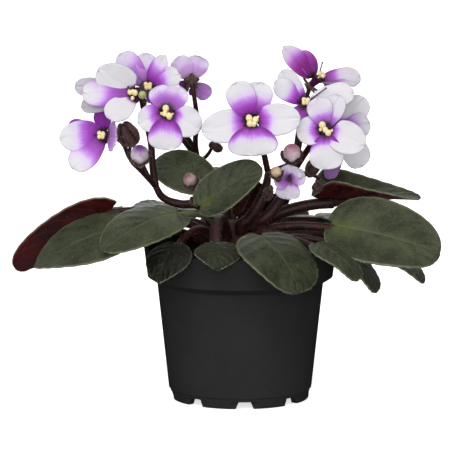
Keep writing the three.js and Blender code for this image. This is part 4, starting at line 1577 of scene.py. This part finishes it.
@dataclass
class Bloom(Carried):
    """An open flower; places as in the front view, sizes in millimetres.

    Lift is how far the pollen sacs stand out of the lip, and lobes are their places and radii. Claw is
    where the petals start, and fade is how much farther out their colours lie on a half-open flower.
    """

    name: str
    at: Place
    face: tuple[float, float]
    style: Place
    petals: tuple[Petal, ...]
    lift: float = 0.8
    open: bool = True
    lobes: tuple[tuple[float, float, float, float], ...] = (
        (-1.1, 0.9, 0.0, 1.4), (-0.9, -1.1, 0.2, 1.3), (1.1, 0.7, 0.1, 1.4), (1.0, -1.0, 0.0, 1.2),
    )
    seed_ball: tuple[float, float, float, float] | None = None
    depth: float = 4.0
    lip: float = 1.3
    claw: float = 2.2
    throat_share: float = 1.0
    fade: float = 0.0
    levels: tuple[float, ...] = (-0.9, 0.0, 0.9, 0.0, 0.9)
    head = Head.BLOOM

    def point(self, *offset: float) -> Vector:
        """A place at an offset from the throat in the front view."""
        return seen(*(a + b for a, b in zip(self.at, offset)))

    @staticmethod
    def frill(phase: float, t: np.ndarray, v: np.ndarray) -> np.ndarray:
        """The soft frill of a petal's margin and the crease along its middle.

        Args:
            phase: Sets the frills of different petals apart, in radians.
            t: Shares from heel to tip.
            v: Shares from the right margin, -1, to the left, 1.

        Returns:
            Heights in metres.
        """
        edge = 0.45 * np.abs(v) ** 3 * np.clip(t * 2, 0, 1) * np.sin(t * 15 + 4 * np.sign(v) + phase)
        crease = 0.25 * np.exp(-((v / 0.12) ** 2)) * np.clip((1 - t) * 3, 0, 1)
        end = 0.35 * np.clip((t - 0.7) * 3, 0, 1) * np.sin(v * 7 + phase)
        return (edge - crease + end) * MM

    def petal_piece(self, petal: Petal, index: int) -> Piece:
        """One petal with its attributes.

        Args:
            petal: Its form and colours.
            index: Its place in the flower.

        Returns:
            The petal.
        """
        level = self.front * (self.levels[index] if petal.level is None else petal.level) * MM
        tip = self.point(petal.right, petal.rise, petal.ahead) + level
        spoke = tip - self.centre
        spoke = (spoke - self.front * spoke.dot(self.front)).normalized()
        base = self.centre + level + spoke * self.claw * MM
        frill = partial(self.frill, 1.7 * index + 0.1 * self.at[0])
        blade = Blade(
            base, tip, self.front, petal.width * MM, petal.outline, petal.roll,
            bow=0.04, cup=0.06, wave=0.3 * MM, relief=frill,
        )
        piece = blade_piece("petal", blade, 22, 18, 0.55, PETAL_FACE, PETAL_FACE, PETAL_FACE)
        distance = np.linalg.norm(points_of(piece) - np.array(self.centre), axis=1) / MM
        mark(
            piece, heart=distance + self.fade, reach=petal.reach, shade=petal.shade, pale=petal.pale,
            rim=petal.rim, pink=petal.pink,
        )
        return piece

    def build(self) -> Piece:
        """Models the corolla with its tube, its style and, where it has set seed, its seed ball.

        Returns:
            The corolla.
        """
        parts = [self.petal_piece(petal, index) for index, petal in enumerate(self.petals)]
        back = self.centre - self.front * self.depth * MM
        lip = self.centre + self.front * self.lip * MM
        radii = [radius * self.throat_share for radius in (1.9, 2.3, 3.1)]
        # painted shade: the throat tube is a dark cap that stands in for the flower's shaded hollow
        throat = tube("throat", [back, (back + lip) / 2, lip], radii, 14)
        dress(throat, THROAT_PAINTED_SHADE)
        smooth(throat, 50)
        stigma = self.point(*self.style)
        foot = self.centre + (stigma - self.centre).normalized() * 0.5 * MM
        bend = (foot + stigma) / 2 + self.front * 0.4 * MM
        style = tube("style", [foot, bend, stigma], [0.42, 0.38, 0.34], 8)
        knob = egg("stigma", stigma, stigma - foot, 0.6, 0.5, 10)
        dress_smooth([style, knob], STYLE_SKIN)
        if self.seed_ball:
            *place, radius = self.seed_ball
            ball = egg("seed_ball", self.point(*place), self.front, radius, radius, 20)
            dress_smooth([ball], GREEN_SKIN)
            parts.append(ball)
        whole = join([*parts, throat, style, knob], f"violet_corolla_{self.name}")
        return hand_over(whole, f"corolla_{self.name}")

    def build_anthers(self) -> Piece:
        """Models the pollen sacs with their slits, on their short threads.

        Returns:
            The anthers.
        """
        side = UP.cross(self.front).normalized()
        up = self.front.cross(side)
        middle = self.centre + self.front * (self.lip + self.lift + 1.2) * MM
        parts = []
        for right, rise, deep, radius in self.lobes:
            place = middle + (side * right + up * rise + self.front * deep) * MM
            heading = up + side * right * 0.15 + self.front * 0.2
            lobe = egg("lobe", place, heading, radius * 0.9, radius, 16)
            offset = points_of(lobe) - np.array(place)
            slit = np.exp(-((offset @ np.array(side)) / (0.25 * radius * MM)) ** 2)
            slit = slit * (offset @ np.array(self.front) > 0)
            move_points(lobe, points_of(lobe) - np.outer(slit * 0.16 * radius * MM, np.array(self.front)))
            parts.append(lobe)
        for right, rise in ((-0.7, 0.2), (0.7, 0.0)):
            foot = self.centre + self.front * (self.lip - 0.4) * MM + side * right * 0.5 * MM
            parts.append(tube("thread", [foot, middle + (side * right + up * rise) * MM], [0.4, 0.35], 6))
        dress_smooth(parts, POLLEN)
        return hand_over(join(parts, f"violet_anthers_{self.name}"), f"anthers_{self.name}")


BLOOMS = (
    Bloom("left_front", (-56, 164, 12), (-25, 10), (-4.5, 4, 4), (
        Petal(-21, 13.5, 3, 20, 3.6, rim=2, outline=WIDE_OUTLINE), Petal(-29.4, 0.8, 2, 14, 15, 0, 0.1, 8),
        Petal(-33, 5, -10, 11, 5, 0.6), Petal(-15, -13, 9, 14, 4.5, 0.1), Petal(-29.6, -6.7, -8, 10, 5, 0.6)),
        lift=1.1,
        lobes=((-2.3, 0.9, 0, 1.6), (0.9, 0.7, 0.4, 1.7), (-0.5, -2.2, 0, 1.2), (-0.5, 1.2, 0, 1.5)),
        seed_ball=(3.2, -0.4, 2.2, 2.3)),
    Bloom("left_top", (-50.5, 167.5, -6), (5, 25), (3, 3, 4), (
        Petal(-14.5, 19.5, -6, 13, 14, 0.2, 0.3, 3), Petal(-0.8, 19.5, -9, 11, 9.5, 0.2, 0.35, 3),
        Petal(9.5, 18, -2, 9.5, 11, 0.1, rim=4, outline=POINTED_OUTLINE), Petal(17.5, 8, 4, 12.5, 10, rim=3),
        Petal(6, -7, 5, 10, 12)), lift=2.6),
    Bloom("left_middle", (-39.4, 154.1, 22), (0, 8), (4, -2, 5), (
        Petal(-5.5, 14, 0, 12, 9.4, 0, 0.2), Petal(7.6, 13.5, 0, 12.5, 9.6, 0, 0.2),
        Petal(18, -9, 1, 17, 6.6, level=0.0, outline=WIDE_OUTLINE),
        Petal(-1.5, -20, 1, 18, 9, rim=7, level=1.6),
        Petal(-15.5, -6, 1, 15, 8, rim=2, level=0.3, outline=WIDE_OUTLINE)), lift=1.1,
        lobes=((-0.7, 2.2, 0.2, 2.0), (-1.2, -0.7, 0.4, 1.7), (1.2, -2.0, 0.2, 1.9), (-2.9, -0.6, 0, 0.9),
               (2.9, -1.0, 0, 0.8))),
    Bloom("left_low", (-73, 142, 8), (-25, 10), (-6, 0, 4), (
        Petal(-25, -1.5, 3, 18, 12, rim=2, outline=WIDE_OUTLINE), Petal(-17.3, -18.1, 8, 15, 13, 0, 0.1, 5),
        Petal(-1.5, 14, -1, 10, 24), Petal(-20, 6, -8, 9, 30), Petal(6.5, -1, 9, 16, 10, 0, 0.5)), lift=2.8),
    Bloom("left_behind", (-26.4, 171.5, -16), (180, -10), (0, 2, -5), (
        Petal(-8.2, 13, 0, 11.5, 8, 0, 0.7, pink=0.7), Petal(4.6, 13.8, 0, 12, 8, 0, 0.7, pink=0.7),
        Petal(9.5, -8, 0, 9, 12, 0.35, 0.4, pink=0.3), Petal(-6, -3.5, 0, 7, 14, 0.5),
        Petal(3, -6.5, -1, 8, 14, 0.5))),
    Bloom("middle_front", (6.1, 149.2, 32), (0, 9), (3, -3, 5), (
        Petal(-8.8, 20.6, 0, 15.5, 11, rim=2, level=0.0), Petal(5.2, 20.8, 0, 15, 11, rim=2, level=-0.9),
        Petal(26, 1.6, 1, 17.5, 8.6, level=0.2, outline=WIDE_OUTLINE),
        Petal(1, -18.6, 1, 26, 7.8, rim=9, level=1.9),
        Petal(-26.7, -5.3, 1, 18, 9, level=0.2, outline=WIDE_OUTLINE)),
        lobes=((-1.5, 1.6, 0, 2.0), (-1.1, -1.3, 0.3, 1.9), (1.9, 0.7, 0, 1.9), (1.1, -1.6, 0.2, 1.6),
               (3.3, 2.3, 0, 0.7))),
    Bloom("right_front", (45.7, 144.9, 26), (0, 9), (5, 2, 4), (
        Petal(-4.6, 16.8, 0, 13.5, 7.8, 0, 0.2, 1.5, level=0.9),
        Petal(7.2, 18.2, 0, 11.5, 7.4, 0, 0.2, level=-0.4),
        Petal(21.4, -8.5, 1, 18, 6.6, outline=WIDE_OUTLINE), Petal(1, -21.4, 1, 18, 7.2, rim=6, level=1.3),
        Petal(-15.6, -1.3, 1, 15.5, 7.2, level=0.3, outline=WIDE_OUTLINE)),
        lobes=((-1.7, 2.3, 0, 2.1), (-0.1, -0.3, 0.4, 1.7), (1.5, -1.9, 0.2, 1.8), (-2.7, -0.2, 0, 0.9),
               (3.4, -0.6, 0, 0.8))),
    Bloom("right_top", (41.5, 172.5, -6), (70, 45), (3, 9, 2), (
        Petal(-17.6, 18.2, 0, 12, 16, 0.2, pink=0.8, roll=-50, outline=POINTED_OUTLINE),
        Petal(-7.7, 15.7, -3, 10, 16, 0.1, pink=0.6, roll=-50, outline=POINTED_OUTLINE),
        Petal(23.1, 1, -6, 12, 10, 0.3, 0.1, 3, 0.6, roll=20), Petal(21.5, -3, 4, 9, 12, 0.3, 0.2, pink=0.6),
        Petal(6, -7, -11, 9, 14)), lift=1.6),
    Bloom("right_middle", (35.8, 159.4, 6), (-10, 30), (10.5, 8, 2), (
        Petal(-17.5, 11.2, 3, 11, 9, rim=3), Petal(-13.6, 17.5, -3, 10, 7, 0.2),
        Petal(25.5, 5.5, 0, 14, 3), Petal(10, -10, 2, 12, 10), Petal(-6, -9, 3, 9, 10)), lift=0.3),
    Bloom("right_back", (55, 145, -8), (20, 10), (4, 2, 3), (
        Petal(12.3, 18, 0, 14, 6), Petal(15, 4.5, 2, 13, 8, 0.05, 0.3, 2), Petal(11.3, -19.5, 2, 15, 8, 0.1),
        Petal(-6.7, -26.5, -4, 9, 30, 0.1, 0.5), Petal(-4, 10, -3, 9, 9)), lift=1.6),
    Bloom("right_low", (26.5, 118.5, 16), (0, 10), (0.5, 2, 2), (
        Petal(-3.5, 6.5, 1, 9, 5.5, 0, 0.4), Petal(4.5, 5.5, 2, 9, 5, 0, 0.3),
        Petal(8.4, 1.4, 0, 9, 6.5, 0.1, 0.4),
        Petal(-1.2, -11, 1, 13, 5, 0, 0.4, 4), Petal(-7.6, -3, 2, 8, 8, 0, 0.2)),
        open=False, claw=0.6, throat_share=0.5, fade=2.0),
)


@dataclass
class Bud(Carried):
    """A closed flower; its middle in the front view, sizes in millimetres."""

    name: str
    at: Place
    face: tuple[float, float]
    radius: float
    half: float
    finish: BudFinish = BUD_SKIN
    folds: int = 5
    head = Head.BUD

    @property
    def depth(self) -> float:
        """How far behind its middle the calyx sits."""
        return self.half

    def build(self) -> Piece:
        """Models the bud with its folded petals and its hairs.

        Returns:
            The bud.
        """
        centre, axis = np.array(self.centre), np.array(self.front)
        piece = egg(f"violet_bud_{self.name}", self.centre, self.front, self.radius, self.half, 32)
        offset = points_of(piece) - centre
        high = offset @ axis
        flat = offset - np.outer(high, axis)
        side = np.array(UP.cross(self.front).normalized())
        turn = np.arctan2(flat @ np.cross(axis, side), flat @ side)
        share = high / (self.half * MM)
        fold = np.abs(((self.folds * (turn + 0.9 * share) / (2 * math.pi)) % 1.0) - 0.15)
        swell = 1 - 0.09 * np.exp(-((fold / 0.16) ** 2)) * np.clip(share + 0.8, 0, 1)
        move_points(piece, centre + flat * swell[:, None] + np.outer(high, axis))
        dress_smooth([piece], self.finish)
        whole = grow_hairs(piece, [HairCoat(0, 0.7, 1.0, 0.04, 0.4)], 3)
        return hand_over(whole, f"bud_{self.name}")


BUDS = (
    Bud("left", (-54.3, 131.7, 14), (0, 50), 5, 5.6),
    Bud("centre", (-27.3, 118, 6), (-40, 50), 3.6, 4, DUSKY_BUD_SKIN),
    Bud("right", (27.9, 132.4, 9), (0, 60), 4.8, 5.6, PINK_BUD_SKIN),
    Bud("small", (19.3, 122, 29), (-20, 50), 2.9, 3.2, TAN_BUD_SKIN),
)


# Flower stalks


@dataclass
class Husk(Carried):
    """Hairy sepals that stay closed; the middle in the front view, sizes in millimetres."""

    at: Place
    face: tuple[float, float]
    radius: float
    half: float
    head = Head.HUSK

    @property
    def depth(self) -> float:
        """How far behind its middle the calyx sits."""
        return self.half * 0.5


@dataclass(frozen=True)
class Cover:
    """How sepals lie over an egg.

    First and last are where they start and end, in degrees from its foot. Spread is half their width as
    an angle, dip is how far their margins sink, and gap is how far off they stand in millimetres.
    """

    first: float
    last: float
    spread: float
    dip: float
    gap: float


COVERS = {Head.BUD: Cover(14, 92, 0.62, 0.0, 1.0), Head.HUSK: Cover(12, 168, 0.5, 0.1, 0.0)}
STALK_COATS = (HairCoat(0, 0.6, 1.3, 0.04, 0.5), HairCoat(1, 2.6, 1.5, 0.045, 0.5))
HEADS = {each.name: each for each in (*BLOOMS, *BUDS)}


@dataclass
class Way:
    """A pedicel: what it carries, its bends, its fork on the stem, its radius and its sepals' length."""

    goal: Bloom | Bud | Husk
    via: tuple[Place, ...]
    fork: int = -1
    thick: float = 0.9
    sepal: float = 6.5

    def radii(self) -> list[float]:
        """The radius at each of its stops, a little thicker where it forks off."""
        return [self.thick * (1.3 - 0.3 * share) for share in np.linspace(0, 1, len(self.via) + 2)]


@dataclass
class Spray:
    """A flower stalk with its pedicels and sepals; places as in the front view, sizes in millimetres.

    Straight is how far it runs on from the crown before it bends. Gap and seat_drop are how far behind a
    head its calyx sits, and sepal_width is for those behind a bloom.
    """

    name: str
    root: Place
    radius: float
    stem: tuple[Place, ...]
    ways: tuple[Way, ...]
    end_radius: float = 1.7
    straight: float = 3.0
    sepals: int = 5
    sepal_width: float = 2.6
    gap: float = 0.3
    seat_drop: float = 1.0

    def build(self, crown: Crown, seed: int) -> Piece:
        """Models the spray with its hairs.

        Args:
            crown: The crown that it grows from.
            seed: Seed of its hairs.

        Returns:
            The spray.
        """
        root, heading = crown.seat(*self.root, self.radius)
        stem = [seen(*place) for place in self.stem]
        stops = [root - heading * crown.sunk * MM, root, root + heading * self.straight * MM, *stem]
        shares = np.linspace(0, 1, len(stops))
        radii = [self.radius + (self.end_radius - self.radius) * share * share for share in shares]
        skins, calyxes = [tube("stem", stops, radii, 12)], []
        for way in self.ways:
            goal = way.goal
            seat = goal.centre - goal.front * (goal.depth + self.gap + self.seat_drop) * MM
            bends = [seen(*place) for place in way.via]
            skins.append(tube("pedicel", [stem[way.fork], *bends, seat], way.radii(), 10))
            calyxes += self.calyx(way, seat)
        dress_smooth(skins, STALK_SKIN, SEPAL_SKIN)
        whole = join([*skins, *calyxes], f"violet_stalk_{self.name}")
        mark(whole, green=0.0)
        return hand_over(grow_hairs(whole, STALK_COATS, seed), f"stalk_{self.name}")

    def calyx(self, way: Way, seat: Vector) -> list[Piece]:
        """The seat of one head and its sepals, which spread, cup or close; a husk has a dark core.

        Args:
            way: The pedicel.
            seat: Where it ends, in metres.

        Returns:
            The calyx's pieces.
        """
        goal = way.goal
        side = UP.cross(goal.front).normalized()
        cores = []
        if goal.head is Head.HUSK:
            cores.append(egg("husk_core", goal.centre, goal.front, goal.radius * 0.86, goal.half * 0.94, 20))
        hairy = [egg("receptacle", seat - goal.front * 0.7 * MM, goal.front, 2.0, 1.9, 14)]
        for index in range(self.sepals):
            spoke = Matrix.Rotation(2 * math.pi * (index + 0.25) / self.sepals, 3, goal.front) @ side
            hairy.append(self.sepal(way, seat, spoke))
        for slot, parts in enumerate((cores, hairy)):
            dress_smooth(parts, STALK_SKIN, SEPAL_SKIN)
            for part in parts:
                part.data.polygons.foreach_set("material_index", [slot] * len(part.data.polygons))
        return cores + hairy

    def sepal(self, way: Way, seat: Vector, spoke: Vector) -> Piece:
        """One sepal: flat behind a bloom, or bent over an egg round a bud or a husk.

        Args:
            way: The pedicel.
            seat: Where it ends, in metres.
            spoke: The way that the sepal leaves it.

        Returns:
            The sepal.
        """
        goal, front = way.goal, way.goal.front
        if goal.head is Head.BLOOM:
            base = seat + spoke * 0.8 * MM - front * 0.3 * MM
            tip = seat + spoke * way.sepal * MM + front * 0.6 * MM
            blade = Blade(base, tip, front, self.sepal_width * MM, SEPAL_OUTLINE, bow=-0.06, cup=0.2)
            return blade_piece("sepal", blade, 8, 6, 0.5, SEPAL_SKIN)
        cover = COVERS[goal.head]
        radius, half = goal.radius + cover.gap, goal.half + cover.gap
        piece, t, v = GRIDS.copy(14, 6, "sepal")
        polar = np.radians(cover.first + (cover.last - cover.first) * t)
        turn = v * (cover.spread * np.sin(np.clip(math.pi * (0.12 + 0.88 * t), 0, math.pi)) ** 0.7)
        lift = radius * (1 + 0.05 * v - cover.dip * v * v)
        outwards = np.outer(lift * np.sin(polar) * np.cos(turn), np.array(spoke))
        sideways = np.outer(lift * np.sin(polar) * np.sin(turn), np.array(front.cross(spoke)))
        back = np.outer(half * np.cos(polar), np.array(front))
        move_points(piece, np.array(goal.centre) + (outwards + sideways - back) * MM)
        apply_modifier(piece, "SOLIDIFY", thickness=0.45 * MM, offset=0.0)
        seal(piece)
        return piece


SPRAYS = (
    Spray("left", (172, 94, 40), 2.9, ((-22, 104, 1), (-33, 105, -1), (-42, 108.5, 0), (-46, 114.5, 2)), (
        Way(HEADS["left_front"], ((-47.5, 125, 2), (-48.5, 138, 2), (-51, 150, 3)), thick=1.6),
        Way(HEADS["left_low"], ((-52, 121, 1), (-60, 130, 0), (-64, 138, -2)), thick=1.1),
        Way(HEADS["left"], ((-50, 120, 6), (-53, 126, 7)), thick=1.1),
        Way(HEADS["centre"], ((-23, 106, 5), (-23, 111, 7)), fork=0),
        Way(Husk((-60.7, 142.4, 14), (-35, 50), 5.8, 8.2), ((-53, 122, 6), (-60, 130, 9))),
        Way(Husk((-24.6, 107, 13), (-20, 30), 2.6, 3), ((-23, 104, 8),), fork=0))),
    Spray("middle", (118, 94, 60), 2.4, ((-9, 108, -17), (-17, 120, -33), (-23, 128, -40)), (
        Way(HEADS["left_behind"], ((-24.5, 138, -34), (-23.5, 151, -16), (-25, 163, -8)), thick=1.2,
            sepal=4.5),
        Way(HEADS["left_middle"], ((-28, 136, -36), (-35, 144, -12)), thick=1.2),
        Way(HEADS["left_top"], ((-28, 140, -38), (-42, 152, -26)), thick=1.2),
        Way(Husk((-12.5, 136, -34), (60, -20), 2.4, 3.2), ((-18, 132, -38),)))),
    Spray("right_low", (286, 94, 62), 3.8, ((5, 97, 14), (10.5, 106, 15), (14, 115, 13), (15, 122, 12)), (
        Way(HEADS["middle_front"], ((12, 134, 16), (8, 143, 20)), thick=1.3),
        Way(HEADS["right_low"], ((20, 122, 9),)),
        Way(HEADS["right"], ((22, 125, 6),)),
        Way(HEADS["small"], ((15, 121, 18),)),
        Way(Husk((15, 110.5, 19), (-20, -40), 2.8, 3.4), ((14.5, 117, 16),)))),
    Spray("right_high", (327, 95, 60), 3.8, ((13, 97, 9), (20, 105, 7), (26, 114, 4), (30, 124, 1)), (
        Way(HEADS["right_front"], ((36, 134, 3), (41, 141, 12)), thick=1.2),
        Way(HEADS["right_top"], ((31, 140, -4), (34, 156, -8)), thick=1.2),
        Way(HEADS["right_middle"], ((33, 142, -2),), thick=1.2),
        Way(HEADS["right_back"], ((40, 138, -8), (48, 145, -12)), thick=1.2),
        Way(Husk((39, 124.6, 10), (40, 60), 3.8, 5), ((33, 121, 4),)),
        Way(Husk((41.5, 114, 12), (-30, -30), 2.6, 3), ((36, 121, 5), (42, 119, 9))))),
)


# Studio


@dataclass(frozen=True)
class Lamp:
    """A distant light: where it shines from in metres, its softness in degrees and its power."""

    name: str
    place: Place
    softness: float
    power: float


LAMPS = (
    Lamp("key", (-0.6, -1.2, 1.3), 50.0, 1.4),
    Lamp("fill", (0.7, -1.3, 0.7), 60.0, 0.4),
    Lamp("front", (0.0, -1.5, 0.35), 30.0, 1.1),
    Lamp("back", (0.0, 1.4, 0.8), 50.0, 1.3),
)


@dataclass
class Studio:
    """The floor, the soft lights and the camera; sizes in metres."""

    target: Place = (-0.0072, 0.0, 0.0937)
    distance: float = 3.0
    width_seen: float = 0.247
    sensor: float = 36.0
    floor: float = 12.0
    floor_drop: float = 0.0002
    clip_end: float = 60.0
    surround: float = 0.55
    backdrop: float = 1.05

    def build(self) -> None:
        """Sets up the studio."""
        self.add_floor()
        self.add_world()
        for lamp in LAMPS:
            self.add_light(lamp)
        self.add_camera()
        view = bpy.context.scene.view_settings
        view.view_transform = "Standard"
        view.look = "None"
        view.exposure = 0.0

    def add_floor(self) -> None:
        """A plain pale floor, just under the pot."""
        place = (0, 0, -self.floor_drop)
        floor = drawn(bpy.ops.mesh.primitive_plane_add, "studio_floor", size=self.floor, location=place)
        fix_place(floor)
        dress(floor, FLOOR_WHITE)

    def add_world(self) -> None:
        """A white surround that is brighter to the eye than to the plant."""
        world = bpy.data.worlds.new("Studio Surround")
        world.use_nodes = True
        world.node_tree.nodes.clear()
        sheet = Sheet(world.node_tree)
        direct = sheet.add("ShaderNodeLightPath").outputs["Is Camera Ray"]
        parts = sheet.parts(sheet.add("ShaderNodeTexCoord").outputs["Generated"])
        sides = sheet.band(sheet.maths("ABSOLUTE", parts[0]), 0.2, 0.8, start=1.0, end=0.35)
        behind = sheet.band(parts[1], -0.5, 0.5, start=1.0, end=0.55)
        around = sheet.times(sides, behind, self.surround)
        strength = sheet.maths("MAXIMUM", around, sheet.times(direct, self.backdrop))
        shade = sheet.add("ShaderNodeBackground", {"Color": WHITE, "Strength": strength})
        sheet.add("ShaderNodeOutputWorld", {"Surface": shade.outputs[0]})
        bpy.context.scene.world = world

    def add_light(self, lamp: Lamp) -> None:
        """A light that shines towards the plant.

        Args:
            lamp: The light.
        """
        light = drawn(bpy.ops.object.light_add, f"light_{lamp.name}", type="SUN", location=lamp.place)
        light.data.angle = math.radians(lamp.softness)
        light.data.energy = lamp.power
        light.rotation_mode = "QUATERNION"
        light.rotation_quaternion = (Vector(self.target) - Vector(lamp.place)).to_track_quat("-Z", "Y")

    def add_camera(self) -> None:
        """The camera, a little above the pot and far off, as the photograph was taken."""
        back = Vector((0, -math.cos(VIEW_TILT), math.sin(VIEW_TILT)))
        place = Vector(self.target) + back * self.distance
        camera = drawn(bpy.ops.object.camera_add, "Camera", location=place)
        camera.rotation_mode = "QUATERNION"
        camera.rotation_quaternion = (-back).to_track_quat("-Z", "Y")
        camera.data.sensor_width = self.sensor
        camera.data.lens = self.sensor * self.distance / self.width_seen
        camera.data.clip_end = self.clip_end
        bpy.context.scene.camera = camera


SPRAY_SEED = 100


def main() -> None:
    """Builds the plant piece by piece, then the studio."""
    logging.basicConfig(level=logging.INFO, format="%(message)s")
    deselect_all()
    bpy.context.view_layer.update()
    crown = Crown()
    Pot().build()
    Soil().build()
    crown.build()
    for seed, leaf in enumerate(LEAVES):
        leaf.build(crown, seed)
    for seed, spray in enumerate(SPRAYS):
        spray.build(crown, SPRAY_SEED + seed)
    for bloom in BLOOMS:
        bloom.build()
        if bloom.open:
            bloom.build_anthers()
    for bud in BUDS:
        bud.build()
    GRIDS.clear()
    Studio().build()


if __name__ == "__main__":
    main()
